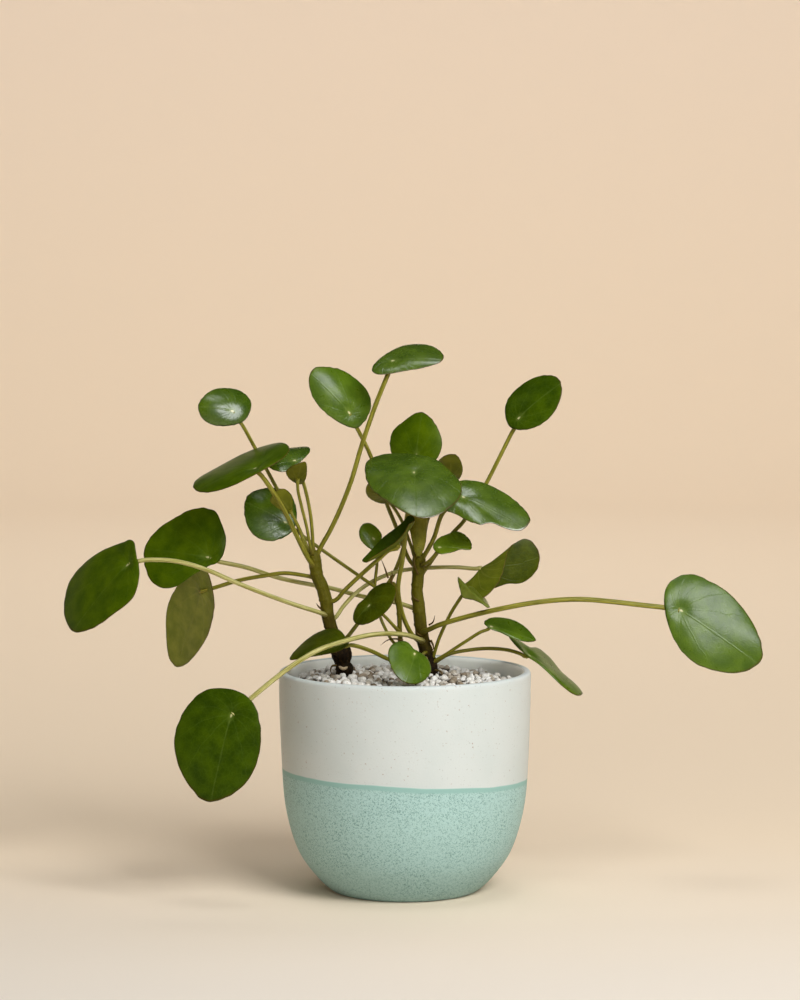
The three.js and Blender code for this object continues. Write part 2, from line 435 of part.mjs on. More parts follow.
let soilSolid = filled;
let toppingSolid = granuleBed();
for (const name of Object.keys(sleeves)) {
  soilSolid = soilSolid.subtract(sleeves[name]);
  toppingSolid = toppingSolid.subtract(sleeves[name]);
}

// -------------------------------------------------------------------- leaves
function leafFrame(leaf) {
  const spot = seen(leaf.spot);
  const normal = new THREE.Vector3(...leaf.face).normalize();
  let tip;
  if (leaf.tip_direction) {
    tip = new THREE.Vector3(...leaf.tip_direction);
  } else if (leaf.tip_depth !== undefined) {
    tip = seen([leaf.tip[0], leaf.tip_depth, leaf.tip[1]]).sub(spot);
  } else {
    tip = ontoPlane(leaf.tip, spot, normal).sub(spot);
  }
  tip.normalize();
  normal.addScaledVector(tip, -normal.dot(tip)).normalize();
  return { spot, normal, tip, side: new THREE.Vector3().crossVectors(normal, tip) };
}

function ontoPlane([x, h], spot, normal) {
  const ray = sightLine(x, h);
  const t = normal.dot(spot.clone().sub(EYE)) / normal.dot(ray);
  return EYE.clone().addScaledVector(ray, t);
}

// The blade's edge laid flat: [along the midrib, across it]. An outline is as
// seen, so the edge is moved until the curved blade covers it; a folded leaf
// has one outline for each half.
function bladeEdge(leaf, frame, count, rise) {
  const [foldA, foldB] = folds(leaf);
  const flat = (points, sign, angle) => {
    const across = frame.side.clone().multiplyScalar(sign * Math.cos(angle))
      .addScaledVector(frame.normal, Math.sin(angle));
    const facing = new THREE.Vector3().crossVectors(frame.tip, across).normalize();
    return points.map((p) => {
      let lifted = frame.spot.clone(), v;
      for (let round = 0; round < 4; round++) {
        v = ontoPlane(p, lifted, facing).sub(frame.spot);
        const u = v.dot(frame.tip), w = v.dot(across);
        lifted = frame.spot.clone().addScaledVector(frame.normal, rise ? rise(u, sign * w) : 0);
      }
      return new THREE.Vector3(v.dot(frame.tip), sign * v.dot(across), 0);
    });
  };
  if (!leaf.outline) {
    const [length, width, behind] = leaf.size;
    return Array.from({ length: count }, (_, i) => {
      const angle = (2 * Math.PI * i) / count;
      return [length * (0.5 - behind + 0.5 * Math.cos(angle)), 0.5 * width * Math.sin(angle)];
    });
  }
  const ring = leaf.far_outline
    ? [...flat(leaf.outline, 1, foldA).slice(1, -1), ...flat(leaf.far_outline, -1, foldB).reverse()]
    : flat(leaf.outline, 1, 0);
  const curve = new THREE.CatmullRomCurve3(ring, true, 'centripetal');
  return curve.getSpacedPoints(count).slice(0, count).map((p) => [p.x, p.y]);
}

function folds(leaf) {
  const list = Array.isArray(leaf.fold) ? leaf.fold : [leaf.fold ?? 0, leaf.fold ?? 0];
  return list.map(THREE.MathUtils.degToRad);
}

function bladeSolid(leaf, frame) {
  const fromSpot = ([x, h]) => Math.hypot(x - leaf.spot[0], h - leaf.spot[2]);
  const reach = leaf.outline ? Math.max(...leaf.outline.map(fromSpot)) : leaf.size[0];
  const count = reach > 26 ? 18 : reach > 14 ? 15 : 11;
  const rings = [0.55, 1];
  const [along, across] = leaf.cup ?? [0, 0];
  const [height, waves, phase] = leaf.wave ?? [0, 0, 0];
  const [foldA, foldB] = folds(leaf);
  let edge = bladeEdge(leaf, frame, count, null);
  const length = Math.max(...edge.map(([u]) => Math.abs(u)));
  const width = Math.max(...edge.map(([, w]) => Math.abs(w)));
  const droop = (u, w) => -along * (u / length) ** 2 - across * (w / width) ** 2;
  edge = bladeEdge(leaf, frame, count, droop);

  const at = (share, angleIndex) => {
    const k = ((angleIndex % count) + count) % count;
    const u = edge[k][0] * share, w = edge[k][1] * share;
    const ripple = height * share * share * Math.sin((2 * Math.PI * waves * k) / count + phase);
    const fold = w > 0 ? foldA : foldB;
    const sideways = w * Math.cos(fold), lift = droop(u, w) + ripple + Math.abs(w) * Math.sin(fold);
    return frame.spot.clone().addScaledVector(frame.tip, u)
      .addScaledVector(frame.side, sideways).addScaledVector(frame.normal, lift);
  };
  const up = (share, k) => {
    const du = at(share, k + 1).sub(at(share, k - 1));
    const dr = at(share, k).sub(at(share * 0.9, k));
    const n = du.cross(dr).normalize();
    return n.dot(frame.normal) < 0 ? n.negate() : n;
  };

  const top = [], bottom = [];
  const put = (p, n) => {
    top.push(p.clone().addScaledVector(n, BLADE / 2));
    bottom.push(p.clone().addScaledVector(n, -BLADE / 2));
  };
  put(frame.spot, frame.normal);
  for (const share of rings) for (let k = 0; k < count; k++) put(at(share, k), up(share, k));

  const faces = [];
  const id = (ring, k) => 1 + ring * count + (k % count);
  for (let k = 0; k < count; k++) faces.push([0, id(0, k), id(0, k + 1)]);
  for (let ring = 0; ring + 1 < rings.length; ring++) {
    for (let k = 0; k < count; k++) {
      faces.push([id(ring, k), id(ring + 1, k), id(ring + 1, k + 1)]);
      faces.push([id(ring, k), id(ring + 1, k + 1), id(ring, k + 1)]);
    }
  }
  const corners = [];
  const triangle = (...list) => list.forEach((p) => corners.push(p.x, p.y, p.z));
  for (const [p, q, r] of faces) {
    triangle(top[p], top[q], top[r]);
    triangle(bottom[p], bottom[r], bottom[q]);
  }
  const rim = rings.length - 1;
  for (let k = 0; k < count; k++) {
    const p = id(rim, k), q = id(rim, k + 1);
    triangle(top[p], bottom[p], bottom[q]);
    triangle(top[p], bottom[q], top[q]);
  }
  const geometry = new THREE.BufferGeometry();
  geometry.setAttribute('position', new THREE.BufferAttribute(new Float32Array(corners), 3));
  return toManifold(geometry);
}

function leafSolid(leaf) {
  const frame = leafFrame(leaf);
  const points = leaf.stalk.map(seen);
  points.push(frame.spot.clone().addScaledVector(frame.normal, -STALK_HOOK));
  points.push(frame.spot.clone().addScaledVector(frame.normal, STALK_BITE));
  const radii = points.map((p, i) => leaf.radius * (i < 1 ? 1.25 : i < 2 ? 1.1 : 1));
  const stalk = sweep(points, radii, Math.max(4, Math.round(points.length * 0.9)), STALK_SIDES);
  return bladeSolid(leaf, frame).add(stalk).subtract(sleeves[leaf.stem]);
}

// ------------------------------------------------------------------ assembly
const paint = (color, roughness) => new THREE.MeshStandardMaterial({ color, roughness, metalness: 0 });
const glaze = paint(0xd9d8cc, 0.45);
const earth = paint(0x3b2a1c, 0.95);
const pumice = paint(0xd6d0c4, 0.9);
const bark = paint(0x4a3a1c, 0.75);
const greenBark = paint(0x6c6a28, 0.6);
const leafGreens = [paint(0x40580f, 0.4), paint(0x4d6b1c, 0.4), paint(0x5c7a2c, 0.4)];

const plant = new THREE.Group();
plant.name = 'potted_pilea';
function place(name, solid, material) {
  const mesh = new THREE.Mesh(toGeometry(solid), material);
  mesh.name = name;
  plant.add(mesh);
}

place('pot', potSolid, glaze);
place('potting_soil', soilSolid, earth);
place('pumice_topping', toppingSolid, pumice);
place('stem_left', stems.left, bark);
place('stem_right', stems.right, bark);
place('stem_middle', stems.middle, greenBark);
LEAVES.forEach((leaf, i) => place(leaf.name, leafSolid(leaf), leafGreens[i % leafGreens.length]));

export default plant;
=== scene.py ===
# %% [markdown]
# # A potted pilea, dressed on its measured frame
# The solids of the plant are already the right size and in the right place: a pot, its soil, a bed
# of grit, three stems and thirty leaves. This notebook gives each of them its living surface.
# Everything is written in millimetres, as the plant was measured, and becomes metres in one place.

# %% Load the frame
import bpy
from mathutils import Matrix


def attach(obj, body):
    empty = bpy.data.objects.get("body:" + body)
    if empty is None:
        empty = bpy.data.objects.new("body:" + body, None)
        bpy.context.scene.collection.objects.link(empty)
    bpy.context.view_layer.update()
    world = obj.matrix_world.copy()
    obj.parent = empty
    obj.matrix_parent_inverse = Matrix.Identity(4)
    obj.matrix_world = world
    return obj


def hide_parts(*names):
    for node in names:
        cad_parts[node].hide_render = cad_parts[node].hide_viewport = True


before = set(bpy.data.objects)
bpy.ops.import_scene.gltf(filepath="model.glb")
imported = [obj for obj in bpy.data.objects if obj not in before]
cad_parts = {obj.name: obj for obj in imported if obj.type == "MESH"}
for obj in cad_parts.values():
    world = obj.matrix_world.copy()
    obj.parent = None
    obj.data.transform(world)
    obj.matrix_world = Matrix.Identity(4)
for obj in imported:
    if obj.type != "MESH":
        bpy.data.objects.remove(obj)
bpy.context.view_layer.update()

import math
import random

import bmesh
import bpy
import numpy as np
from mathutils import Euler, Vector, noise

MM = 0.001
BODY = "root"

# %% [markdown]
# ## The eye
# The leaves were measured from one viewpoint, like a botanist drawing through a window. The same
# viewpoint is the camera: 1.7 m in front of the pot, a little above it, with a long lens. A point
# that is seen at (x, height) on the pot's own plane is carried along the line of sight to its depth.

# %% The eye and the line of sight
EYE = Vector((-2.5, -1700, 334.8))
AIM = Vector((-2.5, 0, 196.5))
MIDDLE_X, MIDDLE_H = -2.5, 194       # what is measured at the middle of the view
AIM_DISTANCE = (EYE - AIM).length
FORWARD = (AIM - EYE).normalized()
RIGHTWARD = Vector((1, 0, 0))
UPWARD = Vector((0, -FORWARD.z, FORWARD.y))


def sight_line(x, h):
    return FORWARD + RIGHTWARD * ((x - MIDDLE_X) / AIM_DISTANCE) + UPWARD * ((h - MIDDLE_H) / AIM_DISTANCE)


def seen(place):
    x, depth, h = place
    ray = sight_line(x, h)
    return EYE + ray * ((depth - EYE.y) / ray.y)


def onto_plane(place, spot, normal):
    ray = sight_line(*place)
    return EYE + ray * (normal.dot(spot - EYE) / normal.dot(ray))


print("eye at", [round(c) for c in EYE], "mm")

# %% The camera
SENSOR_WIDTH = 36
PICTURE_WIDTH = 400          # millimetres across the picture at the pot's own plane

lens = bpy.data.cameras.new("long_lens")
lens.sensor_fit = "HORIZONTAL"
lens.sensor_width = SENSOR_WIDTH
lens.lens = SENSOR_WIDTH * AIM_DISTANCE / PICTURE_WIDTH
lens.clip_start = 0.05
lens.clip_end = 50
camera = bpy.data.objects.new("camera", lens)
camera.location = EYE * MM
camera.rotation_euler = (AIM - EYE).to_track_quat("-Z", "Y").to_euler()
bpy.context.scene.collection.objects.link(camera)
bpy.context.scene.camera = camera
print("lens", round(lens.lens, 1), "mm")

# %% [markdown]
# ## Fields
# A material in Blender is a small graph of nodes. Here each output of a node is a field: a number, a
# place or a colour that differs from point to point. Adding and multiplying fields adds the nodes
# that do it, so the materials below read like formulas.

# %% Fields and the nodes that make them
class Field:
    """One output of a node, with the arithmetic that the materials need."""

    def __init__(self, socket):
        self.socket = socket

    def __add__(self, other):
        return maths("ADD", self, other)

    def __sub__(self, other):
        return maths("SUBTRACT", self, other)

    def __mul__(self, other):
        return maths("MULTIPLY", self, other)

    def __truediv__(self, other):
        return maths("DIVIDE", self, other)

    def __abs__(self):
        return maths("ABSOLUTE", self)


def add(tree, kind, inputs=None, **settings):
    made = tree.nodes.new("ShaderNode" + kind)
    for key, value in settings.items():
        setattr(made, key, value)
    for key, value in (inputs or {}).items():
        if isinstance(value, Field):
            tree.links.new(value.socket, made.inputs[key])
        else:
            made.inputs[key].default_value = value
    return made


def worked_out(kind, inputs, output=0, **settings):
    """A field that a new node makes from other fields, in the graph where they are."""
    tree = next(value.socket.id_data for value in inputs.values() if isinstance(value, Field))
    return Field(add(tree, kind, inputs, **settings).outputs[output])


def maths(operation, *values):
    return worked_out("Math", dict(enumerate(values)), operation=operation)


def smooth_step(value, low, high):
    inputs = {"Value": value, "From Min": low, "From Max": high}
    return worked_out("MapRange", inputs, interpolation_type="SMOOTHSTEP")


def mix(factor, a, b, share=1, mode="MIX"):
    """Colour a, turned into b where the factor is 1. share is the most that b may cover."""
    if share != 1:
        factor = factor * share
    return worked_out("Mix", {0: factor, 6: a, 7: b}, 2, data_type="RGBA", blend_type=mode)


def grain(place, scale, detail=2.0, roughness=0.5, distortion=0.0):
    inputs = {"Vector": place, "Scale": scale, "Detail": detail, "Roughness": roughness,
              "Distortion": distortion}
    return worked_out("TexNoise", inputs, "Fac")


def split(place, kind="XYZ"):
    """The three numbers in a place, or in a colour with kind="Color"."""
    return [Field(socket) for socket in add(place.socket.id_data, "Separate" + kind, {0: place}).outputs]


def distance(x, y):
    """How far the place (x, y) lies from (0, 0)."""
    return worked_out("VectorMath", {0: worked_out("CombineXYZ", {0: x, 1: y})}, "Value", operation="LENGTH")


def bump(height, depth, normal=None):
    """depth is the height, in millimetres, that a value of 1 stands out."""
    inputs = {"Height": height, "Distance": depth * MM, "Strength": 1.0}
    if normal is not None:
        inputs["Normal"] = normal
    return worked_out("Bump", inputs)


# %% Materials: how each one begins and ends
def new_material(name):
    made = bpy.data.materials.new(name)
    made.use_nodes = True
    made.node_tree.nodes.clear()
    return made


def in_millimetres(made):
    position = Field(add(made.node_tree, "TexCoord").outputs["Object"])
    return worked_out("VectorMath", {0: position, "Scale": 1 / MM}, operation="SCALE")


def marked(made, label, output="Vector"):
    """What the mesh itself says at each point or face, such as a blade's own places."""
    return Field(add(made.node_tree, "Attribute", attribute_name=label).outputs[output])


def finish(made, colour, **sockets):
    """The Principled BSDF stays in each material, with its plain values on its own sockets."""
    inputs = {"Base Color": colour}
    inputs.update({key.replace("_", " "): value for key, value in sockets.items()})
    surface = add(made.node_tree, "BsdfPrincipled", inputs)
    add(made.node_tree, "OutputMaterial", {"Surface": Field(surface.outputs[0])})
    return made


def rgb(red, green, blue):
    """A colour as a paint chart gives it, 0 to 255, turned into linear light."""
    def linear(value):
        value /= 255
        return value / 12.92 if value <= 0.04045 else ((value + 0.055) / 1.055) ** 2.4
    return (linear(red), linear(green), linear(blue), 1.0)


def mottled_material(name, clouds, shades, roughness, specular=0.5, pits=None, on=None):
    """A plain material: two shades in clouds (scale, detail, roughness of the noise), with pits
    (scale, detail and depth) where it is rough. on names the mark that takes the object's place."""
    made = new_material(name)
    place = marked(made, on) if on else in_millimetres(made)
    colour = mix(grain(place, *clouds), rgb(*shades[0]), rgb(*shades[1]))
    relief = {"Normal": bump(grain(place, *pits[:2]), pits[2])} if pits else {}
    return finish(made, colour, Roughness=roughness, Specular_IOR_Level=specular, **relief)


print("a mid grey of 128 is", round(rgb(128, 128, 128)[0], 3), "in linear light")

# %% [markdown]
# ## Shared effects
# Flecks turn up in the glaze, on the bark and in the grit, so they are one node group: scattered
# cells, of which only a share is kept, each with its own size. Veins turn up on both faces of every
# leaf, so they are another. A group has named inputs and one output, like a function.

# %% Node group: flecks
def new_group(name, **inputs):
    """A group with the given inputs and one mask as its output, and its inputs as fields."""
    group = bpy.data.node_groups.new(name, "ShaderNodeTree")
    for label, kind in inputs.items():
        group.interface.new_socket(label, in_out="INPUT", socket_type="NodeSocket" + kind)
    group.interface.new_socket("Mask", in_out="OUTPUT", socket_type="NodeSocketFloat")
    entry = group.nodes.new("NodeGroupInput")
    return group, [Field(entry.outputs[label]) for label in inputs]


def put_out(group, mask):
    group.links.new(mask.socket, group.nodes.new("NodeGroupOutput").inputs["Mask"])
    return group


def fleck_group():
    group, given = new_group("flecks", Place="Vector", Scale="Float", Share="Float", Size="Float")
    place, scale, share, size = given
    cells = add(group, "TexVoronoi", {"Vector": place, "Scale": scale}).outputs
    lot, growth, _ = split(Field(cells["Color"]), "Color")
    reach = size * (growth + 0.35)
    near = smooth_step(Field(cells["Distance"]), reach, reach * 0.5)
    return put_out(group, maths("LESS_THAN", lot, share) * near)


FLECKS = fleck_group()


def flecks(place, scale, share, size):
    return worked_out("Group", {"Place": place, "Scale": scale, "Share": share, "Size": size},
                      node_tree=FLECKS)


print("group", FLECKS.name, "with", len(FLECKS.nodes), "nodes")

# %% Node group: veins
VEIN_PAIRS = 4.5             # main veins between the midrib and the back of the blade, on each side
VEIN_BEND = 0.45             # how much they turn towards the tip on their way to the edge


def vein_group():
    """Every point of a blade carries its place: along and across the midrib in mm, and how far out
    it lies, from 0 at the stalk to 1 at the edge. Veins fan out from the stalk and bend tipwards."""
    group, (place, width) = new_group("veins", Place="Vector", Width="Float")
    along, across, share = split(place)
    count = (share * VEIN_BEND + 1.0) * (VEIN_PAIRS / math.pi)
    number = abs(maths("ARCTAN2", across, along)) * count + (grain(place, 0.12) - 0.5) * 0.35
    radius = distance(along, across)
    gap = abs(number - maths("ROUND", number)) * radius / count
    line = smooth_step(gap, width * maths("SUBTRACT", 1.15, share), 0.0)
    return put_out(group, line * smooth_step(radius, 1.0, 3.5))


VEINS = vein_group()


def veins(place, width):
    return worked_out("Group", {"Place": place, "Width": width}, node_tree=VEINS)


print("group", VEINS.name, "draws", int(2 * VEIN_PAIRS), "main veins")

# %% [markdown]
# ## The glaze
# The pot was glazed twice: a warm white all over, then its lower part was dipped in a sea green
# that breaks into dark dapples. The pot was held a little askew in the dip, so the line is a tilted
# plane through the pot, and the first millimetres under the line are plain and a little deeper.

# %% Materials: the two glazes and the bare foot
DIP_HEIGHT = 59.6            # of the dip line at the pot's axis
DIP_SLOPE = (0.043, 0.028, 1.0)
PLAIN_BAND = 2.3             # of green under the line without dapples
SHADE_BELOW = 46.0           # where the green begins to be painted darker towards the foot, as painted shade
WHITE_GLAZE = rgb(207, 212, 209)
WHITE_CLOUD = rgb(201, 208, 205)
GREEN_GLAZE = rgb(172, 203, 198)
GREEN_PLAIN = rgb(147, 185, 177)
GREEN_DAPPLE = rgb(106, 140, 133)
GREEN_FLECK = rgb(215, 226, 218)
GREEN_FOOT_SHADE = rgb(232, 234, 236)      # what the green is multiplied by towards the foot, as painted shade
RUST_FLECK = rgb(150, 112, 84)
TAN_FLECK = rgb(176, 146, 118)
GREY_FLECK = rgb(140, 138, 128)


def glaze_material():
    made = new_material("dipped_glaze")
    place = in_millimetres(made)
    level = worked_out("VectorMath", {0: place, 1: DIP_SLOPE}, "Value", operation="DOT_PRODUCT")
    height = level - DIP_HEIGHT + (grain(place, 0.035) - 0.5) * 1.6
    bare = smooth_step(height, -0.35, 0.3)
    dappled = smooth_step(height, 0.6 - PLAIN_BAND, -0.9 - PLAIN_BAND)

    white = mix(smooth_step(grain(place, 0.03, 3.0), 0.3, 0.7), WHITE_GLAZE, WHITE_CLOUD)
    ragged = worked_out("TexNoise", {"Vector": place, "Scale": 1.5, "Detail": 2.0}, "Color")
    torn = worked_out("VectorMath", {0: ragged, 1: (1.7, 1.7, 1.7), 2: place}, operation="MULTIPLY_ADD")
    crowd = smooth_step(grain(place, 0.09), 0.38, 0.6)
    white = mix(flecks(torn, 0.48, 0.30, 0.17), white, RUST_FLECK, 0.6)
    white = mix(flecks(torn, 0.85, 0.30, 0.22) * crowd, white, TAN_FLECK, 0.4)
    white = mix(flecks(torn, 0.75, 0.40, 0.19), white, GREY_FLECK, 0.5)

    spread = grain(place, 1.25, 1.5, 0.6, 1.2) * 0.6 + grain(place, 2.5, 1.0, 0.5, 0.6) * 0.4
    patch = smooth_step(grain(place, 0.07), 0.25, 0.75)
    dapple = smooth_step(spread, 0.51, 0.59) * (patch * 0.35 + 0.55)
    plain = mix(dapple * dappled, GREEN_PLAIN, GREEN_DAPPLE)
    green = mix(dappled, plain, mix(dapple, GREEN_GLAZE, GREEN_DAPPLE))
    green = mix(flecks(place, 0.4, 0.10, 0.12), green, GREEN_FLECK, 0.6)
    # Painted shade: the green turns darker towards the foot, where the belly turns downward.
    foot_shade = smooth_step(split(place)[2], SHADE_BELOW, 0.0)
    green = mix(foot_shade, green, GREEN_FOOT_SHADE, mode="MULTIPLY")

    relief = bump(smooth_step(height, 0.5, -0.5), 0.12, bump(grain(place, 0.9), 0.05))
    return finish(made, mix(bare, green, white), Roughness=bare * -0.12 + 0.52, Normal=relief,
                  Specular_IOR_Level=0.1)


# Painted light: the inner glaze is a much lighter white than the outer glaze, so the shaded inside of the
# wall looks lit.
def inner_glaze_material():
    made = new_material("brightened_inner_glaze")
    place = in_millimetres(made)
    colour = mix(grain(place, 0.05, 3.0), rgb(250, 251, 243), rgb(243, 246, 237))
    colour = mix(flecks(place, 0.5, 0.2, 0.12), colour, GREY_FLECK, 0.5)
    return finish(made, colour, Roughness=0.45, Normal=bump(grain(place, 0.8), 0.05))


dipped_glaze = glaze_material()
brightened_inner_glaze = inner_glaze_material()
bare_clay = mottled_material("bare_clay_foot", (0.6, 4.0), [(205, 192, 170), (176, 160, 136)], 0.85,
                             pits=(3.0, 3.0, 0.12))
print("glaze: green up to", DIP_HEIGHT, "mm, then white")

# %% [markdown]
# ## Grit and soil
# The topping is pumice: light, rough, full of pores, white to grey, with dark gaps between the
# stones. Every stone keeps one tone of its own, held as a number on its faces, and the material
# turns that number into a colour. The lower side of each stone is painted dark, as painted shade.

# %% Materials: pumice, soil
PUMICE_TONES = [
    (0.0, rgb(251, 249, 245)), (0.34, rgb(230, 225, 216)), (0.56, rgb(248, 245, 239)),
    (0.76, rgb(196, 186, 171)), (0.91, rgb(158, 143, 122)), (1.0, rgb(116, 100, 78))]


def pumice_material():
    made = new_material("pumice_grit")
    place = in_millimetres(made)
    ramp = add(made.node_tree, "ValToRGB", {0: marked(made, "stone_tone", "Fac")})
    stops = ramp.color_ramp.elements
    for i, (tone, shade) in enumerate(PUMICE_TONES):
        stop = stops[i] if i < 2 else stops.new(tone)
        stop.position, stop.color = tone, shade
    rough = grain(place, 1.1, 4.0, 0.65)
    colour = mix(smooth_step(rough, 0.45, 0.75), Field(ramp.outputs[0]), rgb(216, 208, 194), mode="MULTIPLY")
    pores = flecks(place, 1.6, 0.5, 0.3)
    colour = mix(pores, colour, rgb(96, 82, 62), 0.45)
    lift = split(marked(made, "stone_place"))[2]
    # Painted shade: each stone turns dark brown towards its lower side.
    colour = mix(smooth_step(lift + (rough * 0.5 - 0.25), -0.42, 0.36), rgb(60, 46, 30), colour)
    return finish(made, colour, Roughness=0.92, Normal=bump(rough - pores * 0.5, 0.35))


pumice_grit = pumice_material()
potting_soil = mottled_material("potting_soil", (0.5, 6.0, 0.7), [(46, 34, 24), (92, 74, 54)], 0.95,
                                pits=(0.8, 6.0, 0.8))
print("materials so far:", len(bpy.data.materials))

# %% [markdown]
# ## Bark and stalks
# A pilea's stem turns from juicy green to dark brown cork as it ages from the soil upwards, so one
# bark material fades by height, with a ragged border. The stalks are ribbed lengthwise: each point
# of a stalk knows its angle and its distance along it, and a noise that is stretched along that
# distance draws the ribs wherever the stalk bends.

# %% Materials: bark, stalk, dry scales
def bark_material(name, cork_full, cork_gone, green_above):
    made = new_material(name)
    place = in_millimetres(made)
    level = split(place)[2] + (grain(place, 0.22, 4.0) * 22.0 - 11.0)
    old = smooth_step(level, cork_gone, cork_full)
    young = smooth_step(level, green_above - 14, green_above)
    streaks = grain(marked(made, "stalk_place"), 1.4, 4.0, 0.6)
    cracks = smooth_step(grain(place, 0.7, 5.0, 0.7), 0.4, 0.7)
    cork = mix(cracks, rgb(18, 10, 1), rgb(48, 32, 9))
    colour = mix(old, mix(streaks, rgb(50, 40, 2), rgb(76, 66, 6)), cork)
    colour = mix(young, colour, mix(streaks, rgb(68, 63, 2), rgb(100, 94, 12)))
    colour = mix(flecks(place, 0.9, 0.35, 0.22), colour, rgb(136, 118, 78), 0.35)
    relief = bump(streaks, 0.25, bump(grain(place, 0.9, 5.0, 0.65), 0.35))
    return finish(made, colour, Roughness=young * -0.25 + 0.8, Normal=relief, Specular_IOR_Level=0.15)


def stalk_material(name, shade, light):
    made = new_material(name)
    place = marked(made, "stalk_place")
    ribs = grain(place, 1.3, 3.0, 0.55)
    colour = mix(smooth_step(ribs, 0.3, 0.7), shade, light)
    colour = mix(flecks(in_millimetres(made), 1.5, 0.25, 0.2), colour, rgb(176, 172, 112), 0.25)
    foot = smooth_step(split(place)[2], 0.62, 0.12)
    colour = mix(foot, colour, rgb(82, 70, 10), 0.75)
    return finish(made, colour, Roughness=0.45, Normal=bump(ribs, 0.22), Specular_IOR_Level=0.3)


STEM_BARK = {"left": bark_material("bark_left", 120, 136, 146),
             "right": bark_material("bark_right", 117, 126, 142),
             "middle": bark_material("bark_middle", 90, 106, 116)}
stalk_green = stalk_material("stalk_green", rgb(94, 91, 10), rgb(146, 140, 46))
# Painted light: a paler copy of the stalk green, for stalks in front that the main light falls on.
stalk_painted_lit = stalk_material("stalk_painted_lit", rgb(142, 136, 56), rgb(198, 190, 126))
dry_scales = mottled_material("dry_scales", (1.2, 3.0), [(58, 42, 12), (104, 84, 38)], 0.75, 0.2)
bare_wood = mottled_material("bare_wood_chip", (1.5, 3.0), [(196, 178, 146), (150, 124, 92)], 0.8, 0.2)
print("the bark of the left and right stems turns green above 142 to 146 mm")

# %% [markdown]
# ## Leaves
# A pilea leaf is a small round shield: thick, smooth and waxy, dark green above, paler and more
# yellow below, with a cream spot where the stalk is joined and a thin reddish margin. The wax gives
# a soft gloss, and some leaves carry more of it than others. The two faces and the margin are three
# materials, so each can be tuned alone.

# %% Materials: leaf faces and margin
def upper_material(tone, deep, bright, wax, rib, spot=1.0):
    """wax is the strength of the gloss, rib that of the pale midrib, spot that of the cream joint."""
    made = new_material("leaf_upper_" + tone)
    place = marked(made, "blade_place")
    along, across, share = split(place)
    fine = grain(place, 1.2, 3.0, 0.6)
    mottle = grain(place, 0.11, 3.0) * 0.75 + fine * 0.25
    colour = mix(smooth_step(mottle, 0.3, 0.72), rgb(*deep), rgb(*bright))
    main = veins(place, 0.75)
    colour = mix(main, colour, rgb(112, 138, 60), 0.07)
    cells = worked_out("TexVoronoi", {"Vector": place, "Scale": 0.42}, "Distance", feature="DISTANCE_TO_EDGE")
    net = smooth_step(cells, 0.10, 0.0)
    colour = mix(net, colour, rgb(110, 136, 62), 0.05)
    midrib = smooth_step(abs(across), 0.55, 0.1) * smooth_step(along, 1.0, 4.0)
    colour = mix(midrib, colour, rgb(126, 142, 70), rib)
    stretched = maths("MAXIMUM", along, 0.0) * 0.42 + maths("MINIMUM", along, 0.0)
    radius = distance(stretched, across)
    colour = mix(smooth_step(radius, 2.4, 0.6), colour, rgb(122, 140, 60), 0.35 * spot)
    colour = mix(smooth_step(radius, 0.75, 0.25), colour, rgb(222, 214, 160), 0.8 * spot)
    colour = mix(smooth_step(share, 0.962, 1.0), colour, rgb(72, 50, 14), 0.7)
    relief = bump(main * -0.3 + midrib * (-4 * rib), 0.12)
    relief = bump(net * -0.5 + fine, 0.025, relief)
    gloss = grain(place, 0.3, 3.0) * 0.12 + (0.25 - 0.06 * wax)
    return finish(made, colour, Roughness=gloss, Normal=relief, Specular_IOR_Level=wax, IOR=1.47 + 0.2 * wax)


def under_material(tone, deep, bright):
    made = new_material("leaf_under_" + tone)
    place = marked(made, "blade_place")
    colour = mix(smooth_step(grain(place, 0.12, 4.0, 0.6), 0.3, 0.72), rgb(*deep), rgb(*bright))
    main = veins(place, 1.0)
    colour = mix(main, colour, rgb(150, 148, 74), 0.14)
    colour = mix(smooth_step(split(place)[2], 0.955, 1.0), colour, rgb(84, 62, 20), 0.5)
    relief = bump(grain(place, 1.4, 3.0), 0.06, bump(main, 0.06))
    return finish(made, colour, Roughness=0.5, Normal=relief, Specular_IOR_Level=0.25)


UPPER_TONES = {
    "deep": [(38, 57, 1), (62, 82, 2), 0.08, 0.07, 0.7],
    # broad: a lighter deep green. On far_left and left_broad, which face away from the main light, it is
    # painted light.
    "broad": [(53, 74, 1), (78, 98, 3), 0.08, 0.03, 0.7],
    "olive": [(46, 55, 1), (70, 78, 3), 0.10, 0.06, 0.7],
    "rolled": [(92, 90, 12), (138, 132, 46), 0.15, 0.0, 0.0],
    "glossy": [(46, 70, 2), (72, 94, 6), 0.50, 0.14],
    "shiny": [(50, 74, 3), (76, 98, 10), 0.85, 0.10],
    "waxy": [(56, 78, 5), (82, 104, 18), 0.80, 0.04],
    "mid": [(58, 83, 6), (85, 109, 19), 0.30, 0.09],
    "young": [(70, 92, 3), (100, 120, 16), 0.36, 0.06, 0.8],
    "folded": [(80, 90, 14), (112, 118, 46), 0.30, 0.04, 0.0],
}
UNDER_TONES = {
    "deep": [(80, 88, 8), (104, 110, 20)],
    "mid": [(102, 112, 20), (130, 136, 44)],
    "young": [(82, 86, 5), (112, 112, 22)],
}
UPPER = {tone: upper_material(tone, *values) for tone, values in UPPER_TONES.items()}
UNDER = {tone: under_material(tone, *values) for tone, values in UNDER_TONES.items()}
leaf_margin = mottled_material("leaf_margin", (0.5, 2.0), [(62, 40, 10), (96, 76, 24)], 0.6, 0.1,
                               on="blade_place")
print("leaf materials:", len(UPPER) + len(UNDER) + 1)
